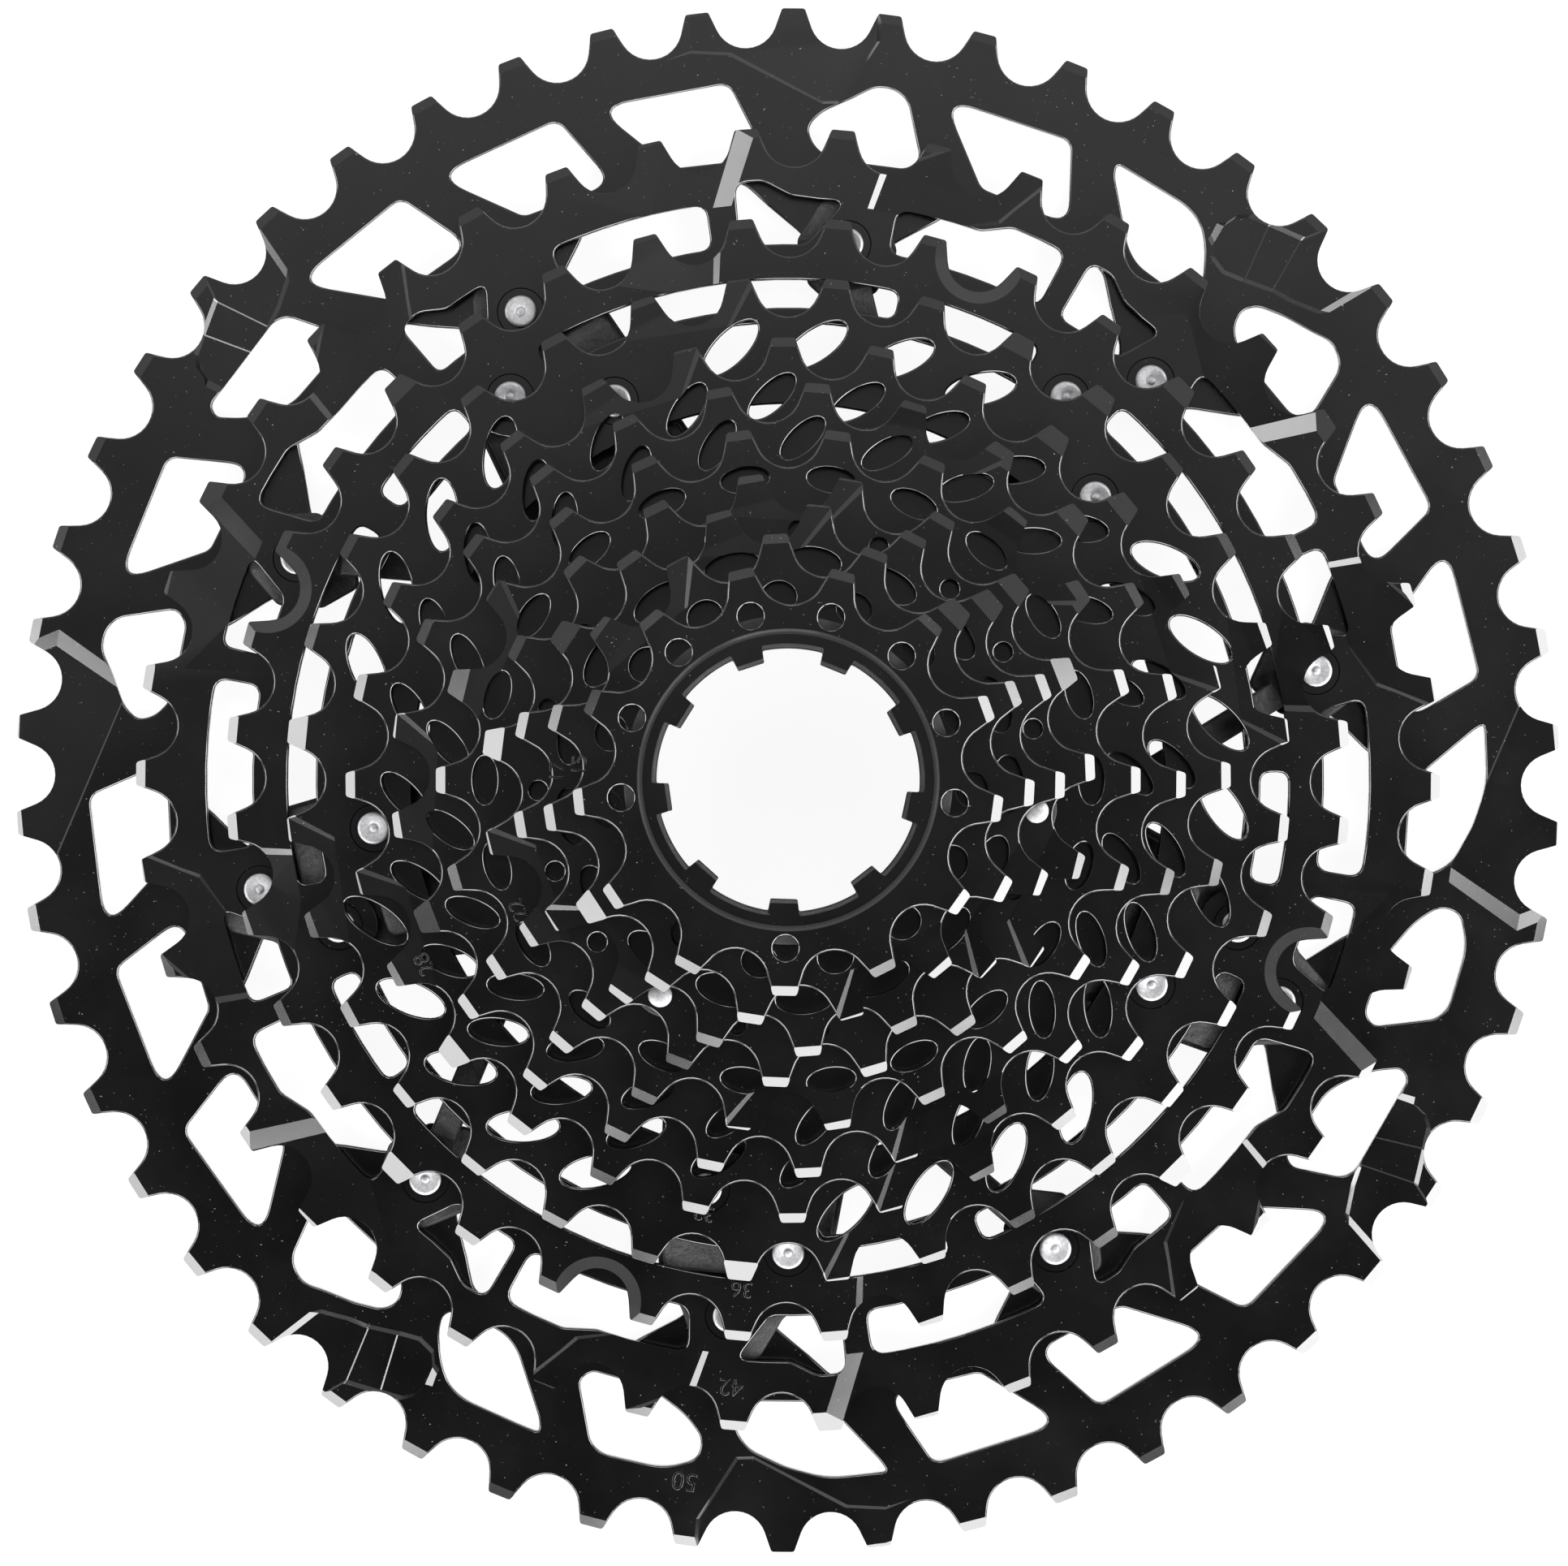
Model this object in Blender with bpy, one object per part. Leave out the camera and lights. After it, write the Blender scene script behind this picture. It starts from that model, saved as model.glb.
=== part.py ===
"""Bicycle cassette cluster, 13 to 50 teeth, lying on the back of its largest sprocket.

World frame: origin on the hub axis in the back plane of the 50-tooth sprocket,
+Z along the axis towards the smallest sprocket.  All lengths are metres.
"""
from math import acos, asin, ceil, cos, degrees, pi, radians, sin, tau

import bmesh
import bpy
from mathutils import Vector

# ---- chain and teeth ---------------------------------------------------------
CHAIN_PITCH = 0.0127
ROLLER_SEAT_RADIUS = 0.0042
SEAT_HALF_ANGLE = 62.0          # degrees of roller seat on each side of a gullet's bottom
TIP_ABOVE_PITCH = 0.0010        # tooth tips stand this far outside the pitch circle
TIP_HALF_WIDTH = 0.00145

# ---- stack -------------------------------------------------------------------
SPROCKET_SPACING = 0.00365      # from one sprocket's back face to the next one's
PLATE_THICKNESS = 0.0017
FACE_GAP = 0.0003               # clearance between faces that bear on each other
HOLE_GAP = 0.0003               # clearance between a shank and its hole, on the radius

# Number of teeth and the angle of one tooth's centre line, from the largest sprocket up.
SPROCKETS = (
    (50, 3.2), (42, 8.0), (36, 4.8), (32, 5.67), (28, 0.6), (25, 13.74),
    (22, 0.0), (19, 2.38), (17, 20.09), (15, 20.99), (13, 19.84),
)
LEVEL_OF = {teeth: level for level, (teeth, _) in enumerate(SPROCKETS)}
TOOTH_ANGLE = dict(SPROCKETS)

# ---- splined bore --------------------------------------------------------------
SPLINE_COUNT = 9
SPLINE_ANGLE = 348.0
SPLINE_ROOT_RADIUS = 0.0174
SPLINE_TIP_RADIUS = 0.0158
SPLINE_HALF_WIDTH = 0.0018

# ---- rivets: circle radius, number, angle of the first --------------------------
OUTER_RIVETS = (0.0710, 10, 11.7)
MIDDLE_RIVETS = (0.0620, 5, 54.0)
INNER_RIVETS = (0.0545, 5, 42.6)
RIVET_SHANK_RADIUS = 0.0016
RIVET_HEAD_RADIUS = 0.00215
RIVET_HEAD_HEIGHT = 0.0005
RIVET_SIDES = 8
TAIL_POCKET_DEPTH = 0.0009      # pocket in the back of the 50-tooth plate for a rivet's tail
PAD_RADIUS = 0.0052             # steel pad around a middle rivet

# ---- long pins through the 19 to 28-tooth plates ---------------------------------
PIN_CIRCLE = 0.0322
PIN_RADIUS = 0.0010
PIN_HEAD_RADIUS = 0.0016
PIN_HEAD_HEIGHT = 0.0005
PIN_HOLE_SLOTS = (0, 6, 13)     # which of the 19-tooth plate's gullets carry a pin

# ---- inner edges that the spider's steps stand in --------------------------------------
RING_INNER_42 = 0.0669
RING_INNER_36 = 0.0600

# ---- spider ----------------------------------------------------------------------
SPIDER_BACK = PLATE_THICKNESS + FACE_GAP  # arms start just above the 50-tooth plate
HUB_BACK = 0.0010
HUB_RADIUS = 0.0240
HUB_SIDES = 30
ARM_ANGLE = 48.0
ARM_COUNT = 5
STRUT_WIDTH = 0.0035
STRUT_TOP = 0.0062
ARM_ROOT = 0.0270               # arms start inside the flange
STEP_OVERLAP = 0.0004           # each step starts this much deeper inside the one behind it
FLANGE_RADIUS = 0.0352
FLANGE_BACK = 0.0016
FLANGE_FRONT = 0.0115
BOSS_NECK_RADIUS = 0.0712
BOSS_END_RADIUS = 0.0768
OUTER_STEP_RADIUS = RING_INNER_42 - 2 * FACE_GAP
MIDDLE_STEP_RADIUS = RING_INNER_36 - 2 * FACE_GAP
PAD_STEP_RADIUS = MIDDLE_RIVETS[0] - PAD_RADIUS - 2 * FACE_GAP

# Corners of one arm's three steps and of a strut's boss: radius, and degrees from the arm.
BOSS_STEP = (
    (ARM_ROOT, -52.0), (0.0450, -15.5), (OUTER_STEP_RADIUS, -9.0), (BOSS_NECK_RADIUS, -5.6),
    (BOSS_END_RADIUS, -3.2), (BOSS_END_RADIUS, 3.2), (BOSS_NECK_RADIUS, 5.6),
    (OUTER_STEP_RADIUS, 10.5), (0.0450, 18.0), (ARM_ROOT, 55.0),
)
MIDDLE_STEP = (
    (ARM_ROOT, -45.0), (0.0440, -15.0), (OUTER_STEP_RADIUS, -8.5),
    (OUTER_STEP_RADIUS, 10.0), (0.0440, 17.0), (ARM_ROOT, 50.0),
)
TOP_STEP = (
    (ARM_ROOT, -40.0), (0.0430, -14.5), (MIDDLE_STEP_RADIUS, -10.0), (MIDDLE_STEP_RADIUS, -1.5),
    (PAD_STEP_RADIUS, 1.0), (PAD_STEP_RADIUS, 9.5), (0.0430, 12.0), (ARM_ROOT, 45.0),
)
STRUT_BOSS = (
    (0.0655, -4.0), (BOSS_NECK_RADIUS, -5.6), (BOSS_END_RADIUS, -3.2), (BOSS_END_RADIUS, 3.2),
    (BOSS_NECK_RADIUS, 5.6), (0.0655, 4.0), (0.0620, 0.0),
)

# ---- webs of the large plates ------------------------------------------------------
RIM_INNER_50 = 0.0793
TAB_EDGE_50 = ((RIM_INNER_50, 11.0), (0.0760, 8.3), (0.0720, 4.6), (RING_INNER_42, 2.4))
WINDOWS_50 = 25
WINDOW_ANGLE_50 = 10.8
WINDOW_INNER_50 = 0.0823
WINDOW_OUTER_50 = 0.0924
WINDOW_WEB_50 = 0.0087
WINDOW_CORNER = 0.0012
WINDOW_SLANT_50 = 3.4           # degrees by which a window's outer end leads
RING_OUTER_42 = 0.0706
RIM_INNER_42 = 0.0768
TAB_HALF_WIDTH_42 = 0.0052
LEG_OFFSET_42 = 12.5            # degrees from a rivet to the thin leg after it
LEG_HALF_WIDTH_42 = 0.0015
RING_OUTER_36 = 0.0620
RIM_INNER_36 = 0.0657
LEG_OFFSET_36 = 21.0
LEG_HALF_WIDTH_36 = 0.0024
BORE_32 = 0.0490

# Lightening holes, one under each tooth or gullet: centre radius, half length, half width,
# tilt of the long axis out of the tangent, and degrees from the tooth's centre line.
OVALS = {
    32: (0.0570, 0.0043, 0.0019, 38.0, 1.9),
    28: (0.0500, 0.0037, 0.0016, 42.0, 1.8),
    25: (0.0444, 0.0035, 0.0015, 46.0, 1.8),
    22: (0.0392, 0.0030, 0.0015, 0.0, 0.0),
    19: (PIN_CIRCLE, 0.0011, 0.0011, 0.0, 180.0 / 19),
    17: (0.0281, 0.0035, 0.0018, 0.0, 0.0),
    15: (0.0234, 0.0021, 0.0019, 0.0, 0.0),
    13: (0.0214, 0.00155, 0.00155, 0.0, 0.0),
}
SOLID_TEETH_13 = (7, 8, 10, 11)  # teeth of the 13-tooth plate with no hole under them
OVAL_POINTS = 6
ARC_STEP = 12.0                 # degrees between points on a long arc

# ---- spacers ------------------------------------------------------------------------
SPACER_INNER = SPLINE_ROOT_RADIUS + 0.0004
SPACER_OUTER = 0.0210
SPACER_EAR_HALF_WIDTH = 0.0026
SPACER_EAR_END = PIN_CIRCLE + 0.0028
SPACER_POINTS = 18

# ---- loose plates lift straight off the splines --------------------------------------
LOOSE_TEETH = (17, 15, 13)
PINNED_TEETH = (28, 25, 22, 19)

WELD = 1e-6
COLLECTION_NAME = "cassette_cluster"


# ---- helpers ---------------------------------------------------------------------------
def clear_scene():
    """Remove every object and open the two collections."""
    for old in list(bpy.data.objects):
        bpy.data.objects.remove(old, do_unlink=True)
    collections = []
    for name in (COLLECTION_NAME, "cutters"):
        collection = bpy.data.collections.new(name)
        bpy.context.scene.collection.children.link(collection)
        collections.append(collection)
    return collections


def metal(name, colour, roughness, metallic):
    """A Principled material."""
    material = bpy.data.materials.new(name)
    material.use_nodes = True
    shader = material.node_tree.nodes["Principled BSDF"]
    shader.inputs["Base Color"].default_value = (*colour, 1.0)
    shader.inputs["Roughness"].default_value = roughness
    shader.inputs["Metallic"].default_value = metallic
    return material


def polar(radius, angle):
    """A point from a radius and an angle in degrees."""
    return Vector((radius * cos(radians(angle)), radius * sin(radians(angle))))


def half_angle(half_width, radius):
    """Degrees that half a width takes up at a radius."""
    return degrees(asin(half_width / radius))


def pitch_radius(teeth):
    return CHAIN_PITCH / (2 * sin(pi / teeth))


def back_of(teeth):
    """Height of a sprocket's back face."""
    return LEVEL_OF[teeth] * SPROCKET_SPACING


def front_of(teeth):
    return back_of(teeth) + PLATE_THICKNESS


def spread(first, count):
    """Angles of things evenly spaced around the axis."""
    return [first + 360.0 * i / count for i in range(count)]


# ---- outlines: each is a list of points in the XY plane ------------------------------------
def tooth_outline(teeth):
    """Teeth with a roller seat in each gullet and flat tips."""
    radius = pitch_radius(teeth)
    tip_radius = radius + TIP_ABOVE_PITCH
    tip_turn = half_angle(TIP_HALF_WIDTH, tip_radius)
    points = []
    for tooth in spread(TOOTH_ANGLE[teeth], teeth):
        points.append(polar(tip_radius, tooth - tip_turn))
        points.append(polar(tip_radius, tooth + tip_turn))
        gullet = tooth + 180.0 / teeth
        seat_centre = polar(radius, gullet)
        for turn in (-SEAT_HALF_ANGLE, 0.0, SEAT_HALF_ANGLE):
            points.append(seat_centre - polar(ROLLER_SEAT_RADIUS, gullet - turn))
    return points


def circle_outline(centre, radius, count, first=0.0):
    return [centre + polar(radius, angle) for angle in spread(first, count)]


def spline_outline():
    """The hub body's splines as they stand in the bore."""
    root_turn = half_angle(SPLINE_HALF_WIDTH, SPLINE_ROOT_RADIUS)
    tip_turn = half_angle(SPLINE_HALF_WIDTH, SPLINE_TIP_RADIUS)
    points = []
    for angle in spread(SPLINE_ANGLE, SPLINE_COUNT):
        points.append(polar(SPLINE_ROOT_RADIUS, angle - root_turn))
        points.append(polar(SPLINE_TIP_RADIUS, angle - tip_turn))
        points.append(polar(SPLINE_TIP_RADIUS, angle + tip_turn))
        points.append(polar(SPLINE_ROOT_RADIUS, angle + root_turn))
        points.append(polar(SPLINE_ROOT_RADIUS, angle + 180.0 / SPLINE_COUNT))
    return points


def oval_outline(centre_radius, angle, half_length, half_width, tilt):
    """An ellipse whose long axis starts along the clockwise tangent and tilts outwards."""
    long_axis = polar(1.0, angle - 90.0 + tilt)
    short_axis = polar(1.0, angle + tilt)
    centre = polar(centre_radius, angle)
    points = []
    for turn in spread(0.0, OVAL_POINTS):
        along = half_length * cos(radians(turn))
        across = half_width * sin(radians(turn))
        points.append(centre + along * long_axis + across * short_axis)
    return points


def ovals(teeth, skip=()):
    """The ring of lightening holes of one plate."""
    centre_radius, half_length, half_width, tilt, offset = OVALS[teeth]
    loops = []
    for index, tooth in enumerate(spread(TOOTH_ANGLE[teeth], teeth)):
        if index not in skip:
            loops.append(oval_outline(centre_radius, tooth + offset, half_length, half_width, tilt))
    return loops


def arc(radius, start, end):
    """Points along an arc about the axis, no further apart than ARC_STEP degrees."""
    steps = max(1, ceil(abs(end - start) / ARC_STEP))
    return [polar(radius, start + (end - start) * i / steps) for i in range(steps + 1)]


def sector_outline(inner, outer, start, end, slant=0.0, corner=WINDOW_CORNER):
    """A window between two radii and two angles, its corners cut; slant turns the outer end."""
    points = []
    for radius, first, last, shift, step in ((outer, start, end, slant, -corner),
                                             (inner, end, start, 0.0, corner)):
        inward = half_angle(corner, radius) * (1 if last > first else -1)
        points.append(polar(radius + step, first + shift))
        points += arc(radius, first + shift + inward, last + shift - inward)
        points.append(polar(radius + step, last + shift))
    return points


def holes(rivets, radius, count=8):
    """Round holes on a rivet circle."""
    circle, number, first = rivets
    return [circle_outline(polar(circle, angle), radius, count, angle)
            for angle in spread(first, number)]


def pin_angles():
    first = TOOTH_ANGLE[19] + 180.0 / 19 - 360.0 / 19
    return [first + 360.0 * slot / 19 for slot in PIN_HOLE_SLOTS]


def pin_holes():
    return [circle_outline(polar(PIN_CIRCLE, angle), PIN_RADIUS + HOLE_GAP, 8)
            for angle in pin_angles()]


# ---- solids --------------------------------------------------------------------------------
def extrude(name, loops, back, front, material, collection):
    """A closed solid between two heights from an outline and the loops cut out of it."""
    curve = bpy.data.curves.new(name, "CURVE")
    curve.dimensions = "2D"
    curve.fill_mode = "BOTH"
    curve.extrude = (front - back) / 2
    for loop in loops:
        spline = curve.splines.new("POLY")
        spline.points.add(len(loop) - 1)
        for point, place in zip(spline.points, loop):
            point.co = (place.x, place.y, 0.0, 1.0)
        spline.use_cyclic_u = True
    flat = bpy.data.objects.new(name + "_curve", curve)
    collection.objects.link(flat)
    flat.location.z = (front + back) / 2
    bpy.context.view_layer.update()
    evaluated = flat.evaluated_get(bpy.context.evaluated_depsgraph_get())
    mesh = bpy.data.meshes.new_from_object(evaluated)
    mesh.name = name
    solid = bpy.data.objects.new(name, mesh)
    solid.matrix_world = flat.matrix_world.copy()
    bpy.data.objects.remove(flat, do_unlink=True)
    weld = bmesh.new()
    weld.from_mesh(mesh)
    bmesh.ops.remove_doubles(weld, verts=weld.verts, dist=WELD)
    bmesh.ops.recalc_face_normals(weld, faces=weld.faces)
    weld.to_mesh(mesh)
    weld.free()
    mesh.materials.clear()
    mesh.materials.append(material)
    collection.objects.link(solid)
    return solid


def turned(name, profile, sides, centre, material, collection):
    """A solid of revolution about a vertical axis, from (radius, height) pairs, top to bottom."""
    mesh = bpy.data.meshes.new(name)
    edit = bmesh.new()
    path = [(0.0, profile[0][1])] + list(profile) + [(0.0, profile[-1][1])]
    verts = [edit.verts.new((radius, 0.0, height)) for radius, height in path]
    edges = [edit.edges.new(pair) for pair in zip(verts, verts[1:])]
    bmesh.ops.spin(edit, geom=verts + edges, cent=(0, 0, 0), axis=(0, 0, 1),
                   angle=tau, steps=sides, use_merge=True)
    bmesh.ops.remove_doubles(edit, verts=edit.verts, dist=WELD)
    bmesh.ops.recalc_face_normals(edit, faces=edit.faces)
    edit.to_mesh(mesh)
    edit.free()
    mesh.materials.append(material)
    solid = bpy.data.objects.new(name, mesh)
    solid.location = (centre.x, centre.y, 0.0)
    collection.objects.link(solid)
    return solid


def boolean(target, other, operation):
    """Join a tool to a solid, or cut it away, and keep the result in the solid's mesh."""
    modifier = target.modifiers.new(operation.lower(), "BOOLEAN")
    modifier.operation = operation
    modifier.solver = "EXACT"
    modifier.object = other
    bpy.context.view_layer.update()
    evaluated = target.evaluated_get(bpy.context.evaluated_depsgraph_get())
    mesh = bpy.data.meshes.new_from_object(evaluated)
    tidy = bmesh.new()
    tidy.from_mesh(mesh)
    bmesh.ops.remove_doubles(tidy, verts=tidy.verts, dist=WELD)
    bmesh.ops.dissolve_degenerate(tidy, edges=tidy.edges, dist=WELD)
    tidy.to_mesh(mesh)
    tidy.free()
    target.modifiers.clear()
    target.data = mesh
    bpy.data.objects.remove(other, do_unlink=True)


def combined(name, pieces):
    """One object from several separate tools, so that one Boolean takes them all."""
    edit = bmesh.new()
    for piece in pieces:
        offset = piece.location.copy()
        before = len(edit.verts)
        edit.from_mesh(piece.data)
        edit.verts.ensure_lookup_table()
        bmesh.ops.translate(edit, verts=edit.verts[before:], vec=offset)
    mesh = bpy.data.meshes.new(name)
    edit.to_mesh(mesh)
    edit.free()
    for piece in pieces:
        bpy.data.objects.remove(piece, do_unlink=True)
    joined = bpy.data.objects.new(name, mesh)
    joined.hide_render = True
    joined.display_type = "WIRE"
    CUTTERS.objects.link(joined)
    return joined


# ---- sprockets ------------------------------------------------------------------------------
def flared_tabs_50():
    """Inner edge of the 50-tooth plate: ten tabs that reach in to the outer rivets."""
    circle, count, first = OUTER_RIVETS
    points = []
    for angle in spread(first, count):
        points += [polar(radius, angle - turn) for radius, turn in TAB_EDGE_50]
        points += [polar(radius, angle + turn) for radius, turn in reversed(TAB_EDGE_50)]
    return points


def windows_50():
    """Slanted windows around the 50-tooth plate, with equal webs between them."""
    half = 180.0 / WINDOWS_50 - half_angle(WINDOW_WEB_50 / 2, WINDOW_OUTER_50)
    return [sector_outline(WINDOW_INNER_50, WINDOW_OUTER_50, centre - half, centre + half,
                           WINDOW_SLANT_50)
            for centre in spread(WINDOW_ANGLE_50, WINDOWS_50)]


def windows_42():
    """A short and a long window between each two outer rivets, parted by a thin leg."""
    tab = half_angle(TAB_HALF_WIDTH_42, RIM_INNER_42)
    leg = half_angle(LEG_HALF_WIDTH_42, RIM_INNER_42)
    circle, count, first = OUTER_RIVETS
    loops = []
    for angle in spread(first, count):
        leg_angle = angle + LEG_OFFSET_42
        following = angle + 360.0 / count
        loops.append(sector_outline(RING_OUTER_42, RIM_INNER_42, angle + tab, leg_angle - leg))
        loops.append(sector_outline(RING_OUTER_42, RIM_INNER_42, leg_angle + leg, following - tab))
    return loops


def windows_36():
    """Two windows between each two middle rivets, parted by a leg."""
    circle, count, first = MIDDLE_RIVETS
    tab = half_angle(PAD_RADIUS, circle) + 1.0
    leg = half_angle(LEG_HALF_WIDTH_36, RIM_INNER_36)
    corner = (RIM_INNER_36 - RING_OUTER_36) / 3
    loops = []
    for angle in spread(first, count):
        leg_angle = angle + LEG_OFFSET_36
        following = angle + 360.0 / count
        for start, end in ((angle + tab, leg_angle - leg), (leg_angle + leg, following - tab)):
            loops.append(sector_outline(RING_OUTER_36, RIM_INNER_36, start, end, 0.0, corner))
    return loops


def padded_bore_36():
    """Inner edge of the 36-tooth plate, with a round pad reaching in at each middle rivet."""
    circle, count, first = MIDDLE_RIVETS
    turn_out = acos((circle ** 2 + PAD_RADIUS ** 2 - RING_INNER_36 ** 2) / (2 * circle * PAD_RADIUS))
    sweep = degrees(turn_out)
    points = []
    for angle in spread(first, count):
        centre = polar(circle, angle)
        for share in (-1.0, -0.5, 0.0, 0.5, 1.0):
            points.append(centre - polar(PAD_RADIUS, angle - share * sweep))
        for share in (0.2, 0.4, 0.6, 0.8):
            gap = 360.0 / count
            points.append(polar(RING_INNER_36, angle + share * gap))
    return points


def skipped_ovals_32():
    """Teeth of the 32-tooth plate whose oval would run into an inner rivet's pad."""
    circle, count, first = INNER_RIVETS
    offset = OVALS[32][4]
    skip = []
    for index, tooth in enumerate(spread(TOOTH_ANGLE[32], 32)):
        for rivet in spread(first, count):
            apart = abs((tooth + offset - rivet + 180.0) % 360.0 - 180.0)
            if apart < 360.0 / 32:
                skip.append(index)
    return skip


def plate_loops(teeth):
    """Outline of one sprocket plate and everything cut out of it."""
    rivet_hole = RIVET_SHANK_RADIUS + HOLE_GAP
    loops = [tooth_outline(teeth)]
    if teeth == 50:
        loops += [flared_tabs_50()] + windows_50() + holes(OUTER_RIVETS, rivet_hole)
    elif teeth == 42:
        bore = circle_outline(Vector((0, 0)), RING_INNER_42, 40)
        loops += [bore] + windows_42() + holes(OUTER_RIVETS, rivet_hole)
    elif teeth == 36:
        loops += [padded_bore_36()] + windows_36() + holes(MIDDLE_RIVETS, rivet_hole)
    elif teeth == 32:
        bore = circle_outline(Vector((0, 0)), BORE_32, 30)
        loops += [bore] + ovals(32, skipped_ovals_32()) + holes(INNER_RIVETS, rivet_hole)
    elif teeth == 19:
        slots = [(slot - 1) % 19 for slot in PIN_HOLE_SLOTS]
        loops += [spline_outline()] + ovals(19, slots) + pin_holes()
    elif teeth in PINNED_TEETH:
        loops += [spline_outline()] + ovals(teeth) + pin_holes()
    elif teeth == 13:
        loops += [spline_outline()] + ovals(13, SOLID_TEETH_13)
    else:
        loops += [spline_outline()] + ovals(teeth)
    return loops


def make_sprockets():
    for teeth, _ in SPROCKETS:
        steel = metal(f"steel_{teeth}t", (0.012, 0.012, 0.013), 0.38, 0.6)
        plate = extrude(f"sprocket_{teeth}t", plate_loops(teeth), back_of(teeth), front_of(teeth),
                        steel, PARTS)
        if teeth == 50:
            cut_tail_pockets(plate)


def cut_tail_pockets(plate):
    """Round pockets in the plate's back that take the outer rivets' tails."""
    circle, count, first = OUTER_RIVETS
    radius = RIVET_HEAD_RADIUS + HOLE_GAP
    profile = ((radius, TAIL_POCKET_DEPTH), (radius, -TAIL_POCKET_DEPTH))
    tools = [turned("pocket", profile, RIVET_SIDES, polar(circle, angle), plate.data.materials[0], CUTTERS)
             for angle in spread(first, count)]
    boolean(plate, combined("tail_pockets", tools), "DIFFERENCE")


# ---- spider -----------------------------------------------------------------------------------
def arm_layers():
    """One arm's steps: name, (radius, degrees from the arm) corners, back and front heights."""
    backs = [SPIDER_BACK + step * STEP_OVERLAP for step in range(3)]
    fronts = [back_of(teeth) - FACE_GAP for teeth in (42, 36, 32)]
    return zip(("boss", "middle", "top"), (BOSS_STEP, MIDDLE_STEP, TOP_STEP), backs, fronts)


def strut_pieces(angle):
    """A thin strut on a tangent of the hub, and the boss at its end."""
    circle = OUTER_RIVETS[0]
    reach = (circle ** 2 - HUB_RADIUS ** 2) ** 0.5
    along = polar(1.0, angle + degrees(asin(HUB_RADIUS / circle)))
    across = Vector((-along.y, along.x)) * STRUT_WIDTH / 2
    tip = polar(circle, angle)
    root = tip - along * reach
    stop = tip - along * (circle - RING_INNER_42 + STRUT_WIDTH / 2)
    bar = [root - across, stop - across, stop + across, root + across]
    boss = [polar(radius, angle + turn) for radius, turn in STRUT_BOSS]
    return (("strut", bar, SPIDER_BACK + STEP_OVERLAP, STRUT_TOP),
            ("boss", boss, SPIDER_BACK, back_of(42) - FACE_GAP))


def make_spider(material):
    """Hub, five wide arms in steps, and five thin struts, joined into one casting."""
    axis = Vector((0, 0))
    hub_front = back_of(28) - FACE_GAP
    spider = extrude("spider", [circle_outline(axis, HUB_RADIUS, HUB_SIDES)],
                     HUB_BACK, hub_front, material, PARTS)
    pieces = [("flange", circle_outline(axis, FLANGE_RADIUS, HUB_SIDES), FLANGE_BACK, FLANGE_FRONT)]
    for angle in spread(ARM_ANGLE, ARM_COUNT):
        for name, corners, back, front in arm_layers():
            pieces.append((name, [polar(radius, angle + turn) for radius, turn in corners], back, front))
    circle, count, first = OUTER_RIVETS
    for angle in spread(first, count)[::2]:
        pieces += strut_pieces(angle)
    for name, outline, back, front in pieces:
        boolean(spider, extrude(name, [outline], back, front, material, CUTTERS), "UNION")
    shank = RIVET_SHANK_RADIUS + HOLE_GAP
    loops = [spline_outline()] + pin_holes()
    for rivets in (OUTER_RIVETS, MIDDLE_RIVETS, INNER_RIVETS):
        loops += holes(rivets, shank)
    cutters = [extrude("hole", [loop], -PLATE_THICKNESS, back_of(25), material, CUTTERS)
               for loop in loops]
    boolean(spider, combined("holes", cutters), "DIFFERENCE")


# ---- fasteners and spacers ----------------------------------------------------------------------
def headed_profile(shank, head, head_height, bottom, under_head_back, under_head_front):
    """A shank with a head at each end, as a profile from top to bottom."""
    top = under_head_front + head_height
    return ((head, top), (head, under_head_front), (shank, under_head_front),
            (shank, under_head_back), (head, under_head_back), (head, bottom))


def make_rivets(material):
    groups = (
        ("outer", OUTER_RIVETS, TAIL_POCKET_DEPTH - FACE_GAP, front_of(42) + FACE_GAP),
        ("middle", MIDDLE_RIVETS, SPIDER_BACK - FACE_GAP, front_of(36) + FACE_GAP),
        ("inner", INNER_RIVETS, SPIDER_BACK - FACE_GAP, front_of(32) + FACE_GAP),
    )
    for group, (circle, count, first), tail, head in groups:
        profile = headed_profile(RIVET_SHANK_RADIUS, RIVET_HEAD_RADIUS, RIVET_HEAD_HEIGHT,
                                 tail - RIVET_HEAD_HEIGHT, tail, head)
        for number, angle in enumerate(spread(first, count), 1):
            turned(f"{group}_rivet_{number}", profile, RIVET_SIDES, polar(circle, angle), material, PARTS)


def make_pins(material):
    """Long pins from under the spider's flange to the face of the 19-tooth plate."""
    tail = FLANGE_BACK - FACE_GAP
    head = front_of(19) + FACE_GAP
    profile = headed_profile(PIN_RADIUS, PIN_HEAD_RADIUS, PIN_HEAD_HEIGHT,
                             tail - PIN_HEAD_HEIGHT, tail, head)
    for number, angle in enumerate(pin_angles(), 1):
        turned(f"stack_pin_{number}", profile, 8, polar(PIN_CIRCLE, angle), material, PARTS)


def eared_outline():
    """A spacer ring with an ear for each long pin."""
    ear_turn = half_angle(SPACER_EAR_HALF_WIDTH, SPACER_OUTER)
    end_turn = half_angle(SPACER_EAR_HALF_WIDTH, SPACER_EAR_END)
    points = []
    angles = pin_angles()
    for angle, following in zip(angles, angles[1:] + [angles[0] + 360.0]):
        points.append(polar(SPACER_OUTER, angle - ear_turn))
        points.append(polar(SPACER_EAR_END, angle - end_turn))
        points.append(polar(SPACER_EAR_END, angle + end_turn))
        points.append(polar(SPACER_OUTER, angle + ear_turn))
        for share in (0.2, 0.35, 0.5, 0.65, 0.8):
            points.append(polar(SPACER_OUTER, angle + share * (following - angle)))
    return points


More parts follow.
